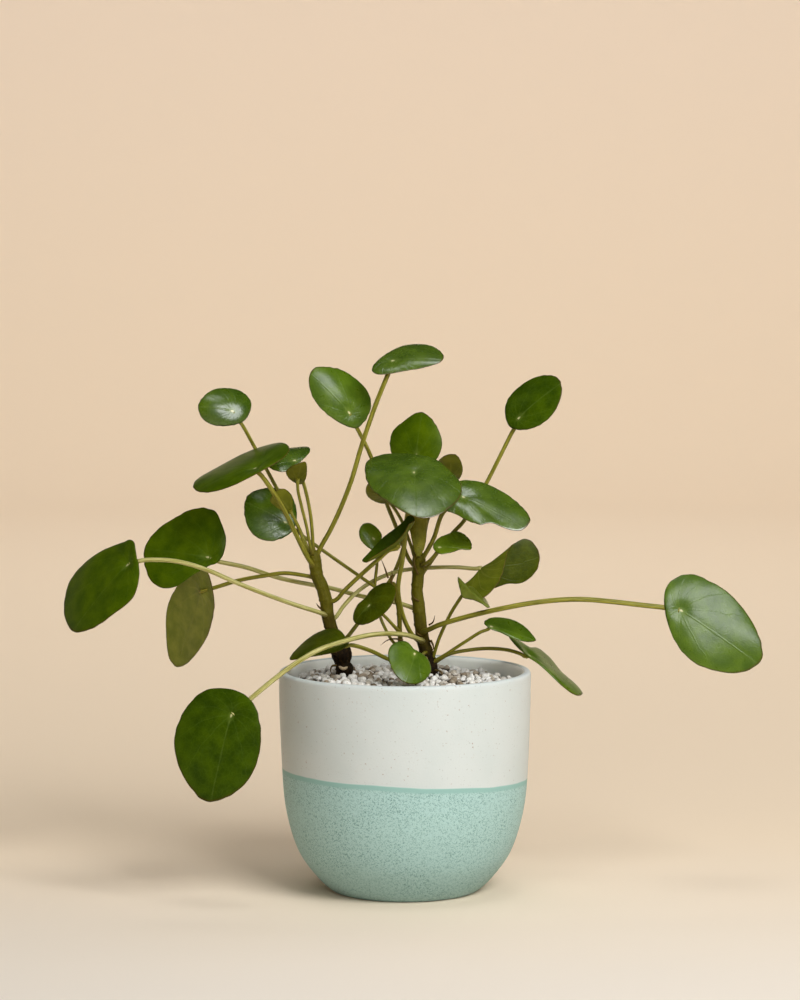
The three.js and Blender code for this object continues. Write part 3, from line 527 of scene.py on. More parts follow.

# %% [markdown]
# ## From lists of points to pieces
# Every piece below is built the same way: rows of points, the faces between them, and the number of
# the material that each face wears. One function turns that into an object in metres. A second one
# lets it ride on the plant's one body, and hides the solid of the frame that it stands for.

# %% Make one piece
def make_object(name, points, faces, materials, shades=0, marks=None, face_marks=None):
    mesh = bpy.data.meshes.new(name)
    mesh.from_pydata((np.asarray(points, float) * MM).tolist(), [], [list(face) for face in faces])
    for material in materials:
        mesh.materials.append(material)
    shades = np.broadcast_to(np.asarray(shades, np.int32), len(faces))
    mesh.polygons.foreach_set("material_index", shades.copy())
    mesh.polygons.foreach_set("use_smooth", np.ones(len(faces), bool))
    for label, values in (marks or {}).items():
        mark = mesh.attributes.new(label, "FLOAT_VECTOR", "POINT")
        mark.data.foreach_set("vector", np.asarray(values, np.float32).ravel())
    for label, values in (face_marks or {}).items():
        mark = mesh.attributes.new(label, "FLOAT", "FACE")
        mark.data.foreach_set("value", np.asarray(values, np.float32).ravel())
    mesh.validate()
    mesh.update()
    made = bpy.data.objects.new(name, mesh)
    bpy.context.scene.collection.objects.link(made)
    return made


def make_piece(name, points, faces, materials, shades, node, slot, **marks):
    piece = make_object(name, points, faces, materials, shades, **marks)
    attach(piece, BODY)
    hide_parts(node)
    return piece


def turns(count):
    """Angles at equal steps round a circle."""
    return np.linspace(0, 2 * math.pi, count, endpoint=False)


def ring_faces(rows, around):
    """Quads between neighbouring closed rings of a grid of points."""
    faces = []
    for row in range(rows - 1):
        for k in range(around):
            a, b = row * around + k, row * around + (k + 1) % around
            faces.append((a, b, b + around, a + around))
    return faces


def end_faces(rows, around):
    """One flat face on the first ring and one on the last."""
    last = (rows - 1) * around
    return [tuple(range(around - 1, -1, -1)), tuple(range(last, last + around))]


# %% Several shapes in one piece
class Heap:
    """Closed shapes gathered into one mesh. The points of a shape may carry marks, and a mark that
    another shape lacks is zero there."""

    def __init__(self):
        self.points, self.faces, self.shades, self.marks = [], [], [], []
        self.count = 0

    def put(self, points, faces, shade, **marks):
        self.points.append(points)
        self.marks.append(marks)
        self.faces += [tuple(k + self.count for k in face) for face in faces]
        self.shades += list(np.broadcast_to(shade, len(faces)))
        self.count += len(points)

    def gathered(self, label):
        return np.vstack([marks.get(label, np.zeros((len(points), 3)))
                          for points, marks in zip(self.points, self.marks)])

    def piece(self, name, materials, node, slot, **face_marks):
        labels = dict.fromkeys(label for marks in self.marks for label in marks)
        return make_piece(name, np.vstack(self.points), self.faces, materials, self.shades, node, slot,
                          marks={label: self.gathered(label) for label in labels}, face_marks=face_marks)


# %% [markdown]
# ## Smooth curves through a few points
# Outlines and stalks are given by a handful of points each. A centripetal Catmull-Rom curve passes
# through every one of them without loops or overshoot, and is then walked in equal steps.

# %% Curves
def between(p0, p1, p2, p3, steps):
    """The stretch of a centripetal Catmull-Rom curve from p1 to p2."""
    gaps = [max(np.linalg.norm(b - a), 1e-6) ** 0.5 for a, b in ((p0, p1), (p1, p2), (p2, p3))]
    t1, t2, t3 = np.cumsum(gaps)
    t = np.linspace(t1, t2, steps, endpoint=False)[:, None]
    a1 = (t1 - t) / t1 * p0 + t / t1 * p1
    a2 = (t2 - t) / (t2 - t1) * p1 + (t - t1) / (t2 - t1) * p2
    a3 = (t3 - t) / (t3 - t2) * p2 + (t - t2) / (t3 - t2) * p3
    b1 = (t2 - t) / t2 * a1 + t / t2 * a2
    b2 = (t3 - t) / (t3 - t1) * a2 + (t - t1) / (t3 - t1) * a3
    return (t2 - t) / (t2 - t1) * b1 + (t - t1) / (t2 - t1) * b2


def smooth_curve(points, closed=False, steps=14):
    p = [np.asarray(point, float) for point in points]
    if closed:
        p = [p[-1]] + p + [p[0], p[1]]
    else:
        p = [2 * p[0] - p[1]] + p + [2 * p[-1] - p[-2]]
    parts = [between(*p[i:i + 4], steps) for i in range(len(p) - 3)]
    return np.vstack(parts + [p[-2][None, :]])


def evenly(line, count, closed=False):
    """count points at equal steps along a line of points, without the last where it closes, and the
    line's length."""
    steps = np.linalg.norm(np.diff(line, axis=0), axis=1)
    walked = np.concatenate([[0], np.cumsum(steps)])
    stops = np.linspace(0, walked[-1], count, endpoint=not closed)
    spread = [np.interp(stops, walked, line[:, axis]) for axis in range(line.shape[1])]
    return np.stack(spread, axis=1), walked[-1]


# %% Round sections carried along a line
GRAIN_ROUND, GRAIN_ALONG = 2.0, 0.09     # how the noise on a stalk is scaled round it and along it


def unit(v):
    return v / np.maximum(np.linalg.norm(v, axis=-1, keepdims=True), 1e-9)


def carried_frames(line):
    """A sideways and an upright direction at each point, turned as little as possible on the way."""
    ahead = unit(np.gradient(line, axis=0))
    side = np.zeros_like(line)
    start = np.cross(ahead[0], (0, 1, 0))
    side[0] = unit(start if np.linalg.norm(start) > 0.1 else np.cross(ahead[0], (1, 0, 0)))
    for i in range(1, len(line)):
        side[i] = unit(side[i - 1] - ahead[i] * side[i - 1].dot(ahead[i]))
    return side, np.cross(ahead, side)


def tube(line, radii, sides):
    """Rings of points round a line, closed at both ends. radii has a row for each ring and one
    column, or one for each side. The places say where a point lies round the tube and along it."""
    side, up = carried_frames(line)
    cos, sin = np.cos(turns(sides))[None, :], np.sin(turns(sides))[None, :]
    outward = cos[..., None] * side[:, None, :] + sin[..., None] * up[:, None, :]
    ring = line[:, None, :] + np.reshape(radii, (len(line), -1, 1)) * outward
    walked = np.concatenate([[0], np.cumsum(np.linalg.norm(np.diff(line, axis=0), axis=1))])
    along = GRAIN_ALONG * walked[:, None]
    place = np.stack(np.broadcast_arrays(GRAIN_ROUND * cos, GRAIN_ROUND * sin, along), axis=-1)
    points = np.vstack([ring.reshape(-1, 3), line[:1], line[-1:]])
    places = np.vstack([place.reshape(-1, 3), [[0, 0, 0]], [[0, 0, GRAIN_ALONG * walked[-1]]]])
    faces = ring_faces(len(line), sides)
    last = (len(line) - 1) * sides
    for k in range(sides):
        faces.append((len(points) - 2, (k + 1) % sides, k))
        faces.append((len(points) - 1, last + k, last + (k + 1) % sides))
    return points, faces, places


test_line, test_length = evenly(smooth_curve([(0, 0, 0), (0, 0, 50), (10, 0, 90)]), 20)
print("a curve through three points is", round(test_length, 1), "mm long")

# %% [markdown]
# ## The pot
# A potter would throw or cast this shape: a small flat foot, a round belly that runs up into a
# nearly straight wall, and a soft lip. Half of its outline is turned round the axis. A hand-made pot
# is never perfectly round, so the wall wanders by a fifth of a millimetre.

# %% Pot
POT_HEIGHT = 111
RIM_RADIUS = 63.2
FOOT_RADIUS = 35
FOOT = [[0.01, 0.0], [FOOT_RADIUS * 0.5, 0.0], [FOOT_RADIUS - 1.2, 0.0]]
OUTER_WALL = [
    (FOOT_RADIUS, 0.0), (36.8, 0.35), (38.6, 1.5), (42.3, 4.8), (49.1, 12.9), (53.3, 19.6), (57.2, 30.0),
    (60.5, 45.5), (62.0, 66), (62.9, 90), (63.15, 104), (RIM_RADIUS, 108.6)]
LIP = [(63.0, 109.9), (62.4, 110.7), (61.3, POT_HEIGHT), (59.9, 110.7), (59.0, 109.5), (58.6, 107.6)]
INNER_WALL = [(58.1, 98), (57.2, 78), (55.4, 46), (51.2, 29), (43, 16), (33, 9), (0.01, 8.4)]
WALL_STEPS, LIP_STEPS = 9, 5         # rings between two points of the outline
OUTER_LIP = 4                # points of the lip that the outer glaze still covers
POT_SIDES = 180
WANDER = 0.2


def wandering(z, angles):
    off = [noise.noise(Vector((math.cos(a) * 1.3, math.sin(a) * 1.3, z / 40))) for a in angles]
    return WANDER * np.array(off) * min(1, max(0, (z - 2) / 20))


def turn_pot():
    outer = smooth_curve(OUTER_WALL, steps=WALL_STEPS)
    rest = smooth_curve(OUTER_WALL[-1:] + LIP + INNER_WALL, steps=LIP_STEPS)[1:]
    profile = np.vstack([FOOT, outer, rest])
    angles = turns(POT_SIDES)
    points = []
    for r, z in profile:
        reach = r + wandering(z, angles)
        points.append(np.stack([reach * np.cos(angles), reach * np.sin(angles), np.full(POT_SIDES, z)], 1))
    rows = len(profile)
    row = np.repeat(np.arange(rows - 1), POT_SIDES)
    inner_row = len(FOOT) + len(outer) + LIP_STEPS * OUTER_LIP
    shades = np.where(row < len(FOOT) - 1, 2, np.where(row >= inner_row, 1, 0))
    faces = ring_faces(rows, POT_SIDES) + end_faces(rows, POT_SIDES)
    return make_piece("glazed_pot", np.vstack(points), faces, [dipped_glaze, brightened_inner_glaze, bare_clay],
                      np.append(shades, [2, 1]), "pot", "pot_glaze")


pot = turn_pot()
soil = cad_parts["potting_soil"]
soil.data.materials.clear()
soil.data.materials.append(potting_soil)
print("pot:", len(pot.data.polygons), "faces")

# %% [markdown]
# ## The stems
# Three stems stand in the pot. Each is a row of sections: place as seen, depth and radius. The bark
# is not a clean tube: leaf scars swell it, the foot of the left one is a dark knobbly callus, and
# small dry scales stay where leaves once were.

# %% Stems
STEMS = {
    "left": [
        (-30.8, 3, 104, 2.8), (-30.4, 3, 107.5, 3.6), (-30.3, 3, 109.8, 4.3), (-31, 3, 112.3, 3.3),
        (-31.8, 3, 116.6, 5.3), (-32.6, 3.3, 120.6, 4.4), (-35.6, 4, 126.6, 3.4), (-38.5, 4, 136, 3.2),
        (-39.5, 4, 143.5, 3.2), (-41.5, 4, 150.5, 3.1), (-44, 4, 156.5, 3.1), (-45.2, 4, 164, 3.2),
        (-46, 4, 169, 2.9)],
    "right": [
        (13, 8, 106, 3.6), (12.5, 8, 112, 3.5), (11, 8, 117.5, 3.3), (9.2, 8, 123, 3.3),
        (8, 8, 130, 3.2), (7, 8, 140, 3.1), (6, 8, 149, 2.9), (6.6, 8, 156, 3.0),
        (7, 8, 163, 3.2), (6.6, 8, 168, 2.9)],
    "middle": [
        (-1.5, -4, 104, 1.4), (-1.8, -4, 112, 1.3), (-2.5, -4, 127, 1.2), (-3.2, -4, 140, 1.2),
        (-4.6, -4, 147, 1.5), (-6.6, -4, 153, 1.7)],
}
KNOBS = {"left": (0.24, 118), "right": (0.10, 112), "middle": (0.05, 110)}   # share, height that it fades at
SWELL, SCAR_SWELL = 0.08, 0.07       # of the bark, as a share of the radius
SCAR_STEP = 6.5              # between leaf scars, in mm
SCARS_FROM = 118             # the height where they begin
BELOW_GRIT = 8               # a stem's mesh starts this far under its first section
STEM_RINGS = 120
STEM_TIP = (0.93, 0.75, 0.4)         # how the last rings of a stem narrow

# Dry scales and root tips: the points of each, from where it is joined to its tip.
SCALES = {
    "left": [
        [(-41.5, 3, 139.5), (-43, 2, 140.5), (-44.5, 1, 142.5)],
        [(-37, 3, 128.5), (-34, 1, 127), (-31.5, 0, 124.8)],
        [(-34.4, 1, 111.4), (-36.6, 0, 110.8), (-37.2, -0.5, 108.6), (-36.2, -1, 106.4)]],
    "right": [
        [(7, 5, 143.5), (4.5, 4, 145), (3.5, 3, 147.5)], [(12, 6, 131.5), (14, 5, 133), (15, 4, 136.5)],
        [(12, 6, 124), (14, 5, 122), (14.5, 5, 119)], [(13, 4, 124), (14.2, 3, 120), (13, 3, 117.5)],
        [(8, 5, 126), (6, 4, 127.5), (5.4, 4, 129)], [(15, 4, 109), (18, 1, 108), (19.5, -2, 104)],
        [(-1, -8, 124), (-5, -9, 124.6), (-9, -9, 123.8), (-12.3, -9, 121.2)],
        [(6.5, 4, 157), (4.6, 1, 162), (4.8, 0, 168)]],
    "middle": [
        [(-5.6, -5, 150), (-6.8, -6, 153), (-7.4, -6.5, 157)],
        [(-6.8, -5, 153), (-6.4, -6, 156), (-6.6, -6.5, 159)],
        [(-8.4, -6, 155), (-10.5, -6.5, 161), (-12.2, -7, 165)]],
}
SCALE_RADIUS = {"left": 0.6, "right": 0.5, "middle": 0.5}
# A chip of bare pale wood shows on the left stem's callus.
CHIPS = {"left": [[(-33.2, -1.4, 110.9), (-30.8, -2.1, 109.6), (-28.6, -1.4, 110.6)]]}
CHIP_RADIUS = 0.85


def bark_swell(name, line, sides):
    """By how much the bark stands out at each point, as a factor."""
    knob, top = KNOBS[name]
    out = np.ones((len(line), sides))
    for i, z in enumerate(line[:, 2]):
        scar = math.exp(-(((z % SCAR_STEP) - SCAR_STEP / 2) / 0.7) ** 2) if z > SCARS_FROM else 0.0
        rough = knob / (1 + math.exp((z - top) / 3))
        for k, a in enumerate(turns(sides)):
            where = Vector((math.cos(a) * 1.4, math.sin(a) * 1.4, z / 4.5))
            out[i, k] += SWELL * noise.noise(where * 1.7) + rough * noise.noise(where) * 1.6
            out[i, k] += SCAR_SWELL * scar * (1 + math.cos(a + z * 0.9))
    return out


def put_slivers(heap, spines, radii, sides, shade):
    """Thin tapering bits along a few seen points each, with one ring for each radius."""
    for spine in spines:
        line, _ = evenly(smooth_curve([seen(p) for p in spine], steps=8), len(radii))
        points, faces, places = tube(line, radii, sides)
        heap.put(points, faces, shade, stalk_place=places)


def grow_stem(name):
    rows = STEMS[name]
    points = [seen(row[:3]) for row in rows]
    points.insert(0, points[0] - Vector((0, 0, BELOW_GRIT)))
    radii = [rows[0][3]] + [row[3] for row in rows]
    line, length = evenly(smooth_curve([(*p, r) for p, r in zip(points, radii)], steps=16), STEM_RINGS)
    sides = 30 if rows[0][3] > 2 else 18
    radius = line[:, 3:].copy()
    radius[-len(STEM_TIP):, 0] *= STEM_TIP
    heap = Heap()
    points, faces, places = tube(line[:, :3], radius * bark_swell(name, line, sides), sides)
    heap.put(points, faces, 0, stalk_place=places)
    put_slivers(heap, SCALES[name], SCALE_RADIUS[name] * (1 - np.linspace(0, 1, 12) ** 1.5 * 0.9), 6, 1)
    put_slivers(heap, CHIPS.get(name, []), CHIP_RADIUS * np.sqrt(1.02 - np.linspace(-1, 1, 9) ** 2), 8, 2)
    return heap.piece("grown_stem_" + name, [STEM_BARK[name], dry_scales, bare_wood], "stem_" + name,
                      "stem_bark"), length


for stem_name in STEMS:
    stem_piece, stem_length = grow_stem(stem_name)
    print(stem_piece.name, round(stem_length), "mm,", len(stem_piece.data.polygons), "faces")

# %% [markdown]
# ## The grit
# The stones lie as they were poured. Places are drawn at random, and one too close to another is
# thrown away, so they touch without forming rows. Each stone is one of a few knobbly shapes, turned
# and stretched by chance. Under them lies a dark bed, which is what the eye finds in the gaps.

# %% Grit
GRIT_RADIUS = 56.6
GRIT_LEVEL = 106.3           # where the stones' centres lie at the axis
GRIT_EDGE_DROP = 2.4         # by how much the stones lie lower at the wall
GRIT_TILT = -0.016           # they lie a little lower on the right
BED_HEIGHTS = (101.0, 103.2)
BED_SIDES = 64
STONES = 580
UPPER_STONES_FROM = 0.74     # the last stones lie on the others: they start at this share of them
UPPER_STONES_LIFT = 1.3
SMALL_STONE, LARGE_STONE = 1.5, 3.0
STONE_SHAPES = 10
CLOSEST = 0.84               # of the sum of two stones' radii
MOST_TRIES = 60000
rng = random.Random(11)


def stone_shape(seed):
    ball = bmesh.new()
    bmesh.ops.create_icosphere(ball, subdivisions=2, radius=1.0)
    points = []
    for vertex in ball.verts:
        where = vertex.co * 1.1 + Vector((seed * 7.3, 0, 0))
        points.append(vertex.co * (1 + 0.38 * noise.noise(where) + 0.16 * noise.noise(where * 2.7)))
    faces = [[v.index for v in face.verts] for face in ball.faces]
    ball.free()
    return np.array(points), faces


def pour_stones():
    trunk_feet = [(Vector(seen(rows[1][:3])).xy, rows[1][3] + 0.4) for rows in STEMS.values()]
    placed = []
    tries = 0
    while len(placed) < STONES and tries < MOST_TRIES:
        tries += 1
        size = SMALL_STONE + (LARGE_STONE - SMALL_STONE) * rng.random() ** 1.6
        r = (GRIT_RADIUS - size * 0.9) * math.sqrt(rng.random())
        angle = 2 * math.pi * rng.random()
        x, y = r * math.cos(angle), r * math.sin(angle)
        layer = 0.0 if len(placed) < STONES * UPPER_STONES_FROM else UPPER_STONES_LIFT
        z = GRIT_LEVEL + GRIT_TILT * x + layer + 0.7 * (rng.random() - 0.5)
        z += 0.6 * noise.noise(Vector((x / 14, y / 14, 3))) - GRIT_EDGE_DROP * (r / GRIT_RADIUS) ** 4
        if any((x - f.x) ** 2 + (y - f.y) ** 2 < (size * 0.7 + reach) ** 2 for f, reach in trunk_feet):
            continue
        if all((x - a) ** 2 + (y - b) ** 2 + (z - c) ** 2 > (CLOSEST * (size + s)) ** 2
               for a, b, c, s in placed):
            placed.append((x, y, z, size))
    return placed


def make_grit():
    shapes = [stone_shape(seed) for seed in range(STONE_SHAPES)]
    heap = Heap()
    bed = np.array([[GRIT_RADIUS * math.cos(a), GRIT_RADIUS * math.sin(a), z]
                    for z in BED_HEIGHTS for a in turns(BED_SIDES)])
    bed_faces = ring_faces(2, BED_SIDES) + end_faces(2, BED_SIDES)
    heap.put(bed, bed_faces, 1, stone_place=bed)
    tones = [1.0] * len(bed_faces)
    stones = pour_stones()
    for x, y, z, size in stones:
        points, faces = shapes[rng.randrange(STONE_SHAPES)]
        turn = Vector((rng.random(), rng.random(), rng.random())) * 6.28
        spin = np.array(Euler(turn).to_matrix())
        scale = size * np.array([1.0, 0.75 + 0.35 * rng.random(), 0.65 + 0.3 * rng.random()])
        stone = (points * scale) @ spin.T
        heap.put(stone + (x, y, z), faces, 0, stone_place=stone / size)
        tones += [rng.random()] * len(faces)
    piece = heap.piece("pumice_grit", [pumice_grit, potting_soil], "pumice_topping", "pumice",
                       stone_tone=tones)
    return piece, len(stones)


grit, stone_count = make_grit()
print("grit:", stone_count, "stones,", len(grit.data.polygons), "faces")

# %% [markdown]
# ## The leaves as measured
# One entry for each leaf, as seen from the eye, in millimetres: `spot` is where the stalk meets the
# blade, `face` the way its upper side looks, `outline` the edge, `tip` the end of the midrib, `cup`
# how far the edge droops along and across the midrib, `wave` the ripple of the edge (height, number
# and phase), `radius` that of the stalk, and `stalk` its way from the stem. A folded leaf has an
# outline for each half, a `fold` that says by how many degrees each half is folded up, and the
# depth of its tip. `curl` and `hook` say where the edge's turn or the stalk's last bend is unusual.
# The lists after them give the leaves whose age or place makes them deeper, more olive, glossier or
# younger than the others. The broad green is painted light on far_left and left_broad, which face
# away from the main light, and the pale stalks are painted light where the main light falls on them.

# %% Leaves as measured
LEAVES = {
    "far_left": dict(spot=(-139, -12, 162), face=(-0.62, -0.6, 0.5), tip=(-168, 129), cup=(2, 2),
        wave=(0.5, 3, 0), radius=1.15,
        outline=[(-170.5, 141), (-167.5, 153), (-161, 161.5), (-152.2, 168.3), (-142, 172.5),
            (-135.5, 173.5), (-134, 166), (-133, 157), (-136, 146), (-146, 136.5), (-155.5, 130),
            (-165.5, 128), (-170, 134)],
        stalk=[(-38.6, 3, 136), (-42, 0, 137.5), (-57.5, -4, 142.5), (-72.5, -6, 148), (-85, -8, 153),
            (-97.5, -9, 158.5), (-110, -10, 162.5), (-120, -11, 164), (-133, -11, 163.5)]),
    "left_broad": dict(spot=(-98.5, 16, 165.5), face=(-0.15, -0.95, 0.3), tip=(-130, 170), cup=(2, 2),
        wave=(0.5, 3, 1), radius=1.15,
        outline=[(-130.5, 164), (-129.5, 171.5), (-122.5, 180.5), (-115.5, 185), (-107.5, 189), (-100, 190),
            (-94.5, 188), (-92, 183), (-89.5, 174), (-92.5, 164), (-99, 160.5), (-106.5, 156), (-114, 151),
            (-121, 150), (-127, 153.5)],
        stalk=[(7, 8, 139), (3, 9, 140.5), (-5, 10.5, 143), (-19.5, 13, 145.5), (-38, 15, 150.2),
            (-45.5, 15, 151.5), (-62.5, 15, 155), (-80, 17, 160.5), (-94, 19, 163.5)]),
    "left_hanging": dict(spot=(-101, 24, 148.5), face=(0.78, 0.6, 0.15), tip=(-113, 111), cup=(2, 2),
        wave=(0.4, 3, 2), radius=1.05,
        outline=[(-105, 159), (-99, 158), (-96, 150.5), (-95, 142.5), (-97, 133), (-100, 124),
            (-105.5, 115.5), (-111, 111), (-115, 111), (-118, 115.5), (-119.5, 124), (-119.5, 134),
            (-117.5, 143.5), (-112.5, 153)],
        stalk=[(-43.5, 4, 155), (-47.5, 5, 155.8), (-60, 8, 157.5), (-71.5, 11, 156), (-82.5, 14, 154),
            (-95, 19, 150.3)]),
    "low_left": dict(spot=(-87, -50, 86.5), face=(-0.25, -0.93, 0.25), tip=(-98, 43.5), cup=(3, 2),
        wave=(0.5, 4, 0), radius=1.25,
        outline=[(-92.5, 100), (-100.5, 98.5), (-107.5, 92.5), (-112.5, 85), (-115.5, 75), (-114.5, 66),
            (-111.5, 57), (-106.5, 49), (-100.5, 43.5), (-94, 43.5), (-86.5, 46.5), (-79.5, 52.5),
            (-74.5, 61.5), (-72, 73), (-72.5, 83), (-75.5, 92), (-82.5, 98)],
        stalk=[(8.8, 6, 123.5), (6.5, 0, 124.6), (0.5, -8, 126.6), (-9, -15, 127.2), (-19, -22, 126.2),
            (-31, -31, 123.2), (-43, -37, 119), (-52.5, -41, 113.7), (-62, -42, 107), (-71, -45, 99.8),
            (-79.5, -47, 92.5)]),
    "top_left": dict(spot=(-86, 8, 238.5), face=(0.34, -0.88, 0.33), tip=(-103, 242), cup=(4.5, 4),
        radius=0.95,
        outline=[(-103.5, 241), (-100.5, 246), (-95, 249.5), (-88.5, 250), (-82.5, 248.5), (-77.5, 244),
            (-77, 239.5), (-80.5, 233.5), (-88, 231), (-96, 231.5), (-101.5, 235)],
        stalk=[(-47.2, 6, 166), (-50, 6.5, 173), (-54.5, 9, 183), (-63, 14, 198), (-69, 14, 209),
            (-76, 12.5, 222), (-82, 10, 232.5)]),
    "left_slanted": dict(spot=(-75, -25, 210.5), face=(-0.4, -0.28, 0.87), tip=(-105, 200), cup=(1.5, 1.5),
        wave=(0.4, 3, 1), radius=1.2,
        outline=[(-105.5, 199.5), (-104, 203.5), (-96.5, 209.2), (-86.5, 214.4), (-74.5, 219.4),
            (-63.5, 222.5), (-58, 220.5), (-61, 215), (-69.5, 209.5), (-78.5, 204.5), (-88.5, 200.5),
            (-99, 198)],
        stalk=[(-45, 3, 160), (-48.8, -1, 165.5), (-54.5, -7, 177), (-59.5, -12, 187), (-65.5, -17, 197.5),
            (-71.5, -21, 206)]),
    "left_folded": dict(spot=(-55, 4, 214), face=(0.1, -0.54, 0.84), tip=(-69, 211), cup=(0.3, 2.2),
        radius=0.9,
        outline=[(-69.5, 212.5), (-64.5, 218), (-57.5, 220.5), (-49.5, 221), (-47.5, 218), (-51.5, 214),
            (-56, 211), (-60, 208), (-66, 209)],
        stalk=[(-45.8, 3.5, 167.5), (-46.2, 3.5, 176), (-47, 3.5, 185), (-49, 3.5, 196), (-51.5, 4, 205),
            (-54.2, 4.5, 211.5)]),
    "left_bud_upper": dict(spot=(-53.5, -5, 205), face=(0.1, 0.6, 0.8), tip=(-52, 212.5), cup=(-1.5, -1.5),
        radius=0.8,
        outline=[(-59.5, 208.5), (-54.5, 212), (-50, 213.5), (-49, 208), (-50, 204), (-52.5, 201.5),
            (-56, 203), (-58.5, 205.5)],
        stalk=[(-46, 2, 166.5), (-47.6, -0.5, 172), (-49, -2.2, 180), (-51.5, -4, 190),
            (-53.5, -5.5, 199)]),
    "left_round": dict(spot=(-59.5, 3.5, 183), face=(0.26, -0.8, 0.54), tip=(-79, 194), cup=(2.6, 2.8),
        radius=0.9,
        outline=[(-80.5, 189.5), (-78.5, 196.5), (-72.5, 199.5), (-65, 200), (-58.5, 198.5), (-55.5, 193.5),
            (-54, 186.5), (-55.5, 179.5), (-60, 175.5), (-67, 173.5), (-74, 175.5), (-78.5, 180.5)],
        stalk=[(-4.2, -4, 145), (-7.5, -2.5, 146), (-15.5, 2.5, 151), (-30, 9, 161), (-40.2, 11.5, 168.2),
            (-49, 12, 174.5), (-56, 9.5, 180)]),
    "left_bud_lower": dict(spot=(-57.5, -3, 189), face=(-0.3, 0.7, 0.6), tip=(-65, 198), cup=(-1, -1),
        radius=0.75,
        outline=[(-67.5, 193.5), (-64.5, 198.5), (-60.5, 199.5), (-57, 196.5), (-56, 191.5), (-57, 187.5),
            (-62, 189)],
        stalk=[(-47, 3, 164), (-49.9, 1.2, 169.5), (-52.2, -1.2, 177.5), (-54.8, -3.5, 183.5)]),
    "top_middle": dict(spot=(-27.5, 2, 237.5), face=(0.38, -0.91, 0.12), tip=(-47, 259), cup=(5, 4.5),
        wave=(0.3, 3, 0), radius=1.05,
        outline=[(-48, 255.5), (-45.5, 260), (-39, 260.5), (-31.5, 259), (-24.5, 254.5), (-19, 248.5),
            (-17, 242), (-19, 235), (-24, 230), (-29.5, 231), (-37.5, 235.5), (-43.5, 241.5), (-47, 248)],
        stalk=[(6, 9, 160.5), (2.6, 11, 163.5), (-1, 13, 171.5), (-5, 13.5, 182), (-9, 13.5, 192),
            (-16.5, 10, 214.5), (-24, 5, 230)]),
    "crown_top": dict(spot=(-6.5, -6, 264), face=(-0.18, -0.55, 0.82), tip=(19, 266), cup=(2.5, 1.5),
        wave=(0.4, 2, 1), radius=1.2,
        outline=[(-16.5, 258.5), (-13, 264), (-7, 268.5), (0, 271.5), (7.5, 272), (14, 270.5),
            (19.5, 265.5), (17.5, 262.5), (9.5, 260.5), (0, 259), (-8.5, 257), (-14, 256.5)],
        stalk=[(-45, 4, 163.5), (-42, 3, 170.5), (-37.5, 0, 178.5), (-32.5, -3, 189), (-27, -5.5, 203),
            (-21.5, -7, 221.5), (-15, -7.5, 240.5), (-9, -7, 255.5)]),
    "back_upright": dict(spot=(5.5, 22, 216), face=(-0.3, -0.92, 0.15), tip=(8, 238), cup=(2, 2),
        radius=1.05,
        outline=[(-7.5, 222), (-6, 228.5), (-0.5, 233.5), (4.5, 237), (8, 238), (12.5, 235.5), (17, 228.5),
            (18.5, 221.5), (16, 214.5), (9.5, 209.5), (1, 209.5), (-5.5, 214.5)],
        stalk=[(-33, 4.5, 122.5), (-29.8, 8, 124.5), (-24.5, 12, 131), (-15.5, 15, 143), (-7, 17, 154.5),
            (-1, 19, 169.5), (3, 24, 195), (5, 26, 209)]),
    "front_large": dict(spot=(4.5, -12, 208.5), face=(0, -0.5, 0.865), tip=(6, 185), cup=(5, 3),
        wave=(0.5, 4, 1), radius=1.2,
        outline=[(-20, 207), (-18.5, 213.5), (-11.5, 217), (-2.5, 217.5), (6.5, 216), (16, 213.5),
            (23.5, 208), (28, 202), (27.5, 195), (21.5, 189.5), (15, 186), (7.5, 185), (0, 187.5),
            (-8.5, 193), (-16.5, 199.5)],
        stalk=[(9, 9, 122.5), (4.2, 8.5, 126), (0, 5, 133.5), (-2.6, 2, 142.5), (-3.4, 1, 151),
            (-1.4, 1.5, 163), (0, 1, 174), (0.8, -1, 184), (3, -6, 196), (4.4, -9.5, 203.5)]),
    "right_wavy": dict(spot=(29, -6, 196), face=(0.1, -0.64, 0.76), tip=(61, 181), cup=(2, 1.2),
        wave=(0.6, 4, 0), radius=1.15,
        outline=[(18.5, 190), (18, 196), (22, 202), (28.5, 204), (36.5, 203), (44.5, 200), (52.5, 196),
            (59, 190), (62.5, 183), (58, 179), (50.5, 180), (43.5, 182), (37.5, 181), (31.5, 183.5),
            (25.5, 187.5)],
        stalk=[(7.6, 8, 163), (10.8, 6.5, 168), (14.5, 3, 175), (19, -2, 187.5), (24.5, -4.5, 192)]),
    "top_right": dict(spot=(56.5, 12, 235), face=(-0.42, -0.8, 0.42), tip=(78, 254), cup=(2, 1.5),
        radius=1.05,
        outline=[(50, 238.5), (52, 245), (57.5, 251), (64, 255), (71, 256.5), (76.5, 255), (78.5, 249),
            (76.5, 241.5), (72, 235), (65.5, 230.5), (58, 229), (52, 231)],
        stalk=[(7.4, 9, 156), (11.2, 10.5, 160.5), (15, 12, 166), (23.5, 14, 177), (29.5, 15, 183.5),
            (40.5, 16, 202), (54, 15, 228.5)]),
    "small_back_right": dict(spot=(22.5, 10, 206.5), face=(0.2, 0.6, 0.75), tip=(23, 216.5), cup=(-1, -1),
        radius=0.8,
        outline=[(16, 212), (20.5, 216.5), (25, 216.5), (28.5, 212), (28.5, 207), (25.5, 203.5),
            (19.5, 205)],
        stalk=[(7.2, 9.5, 167.8), (9.2, 9.8, 173), (11.5, 10, 184), (16, 9.6, 195), (20.5, 8.6, 202.5)]),
    "small_back_left": dict(spot=(-10.5, 2, 197), face=(-0.3, 0.6, 0.75), tip=(-18, 202), cup=(-1, -1),
        radius=0.85,
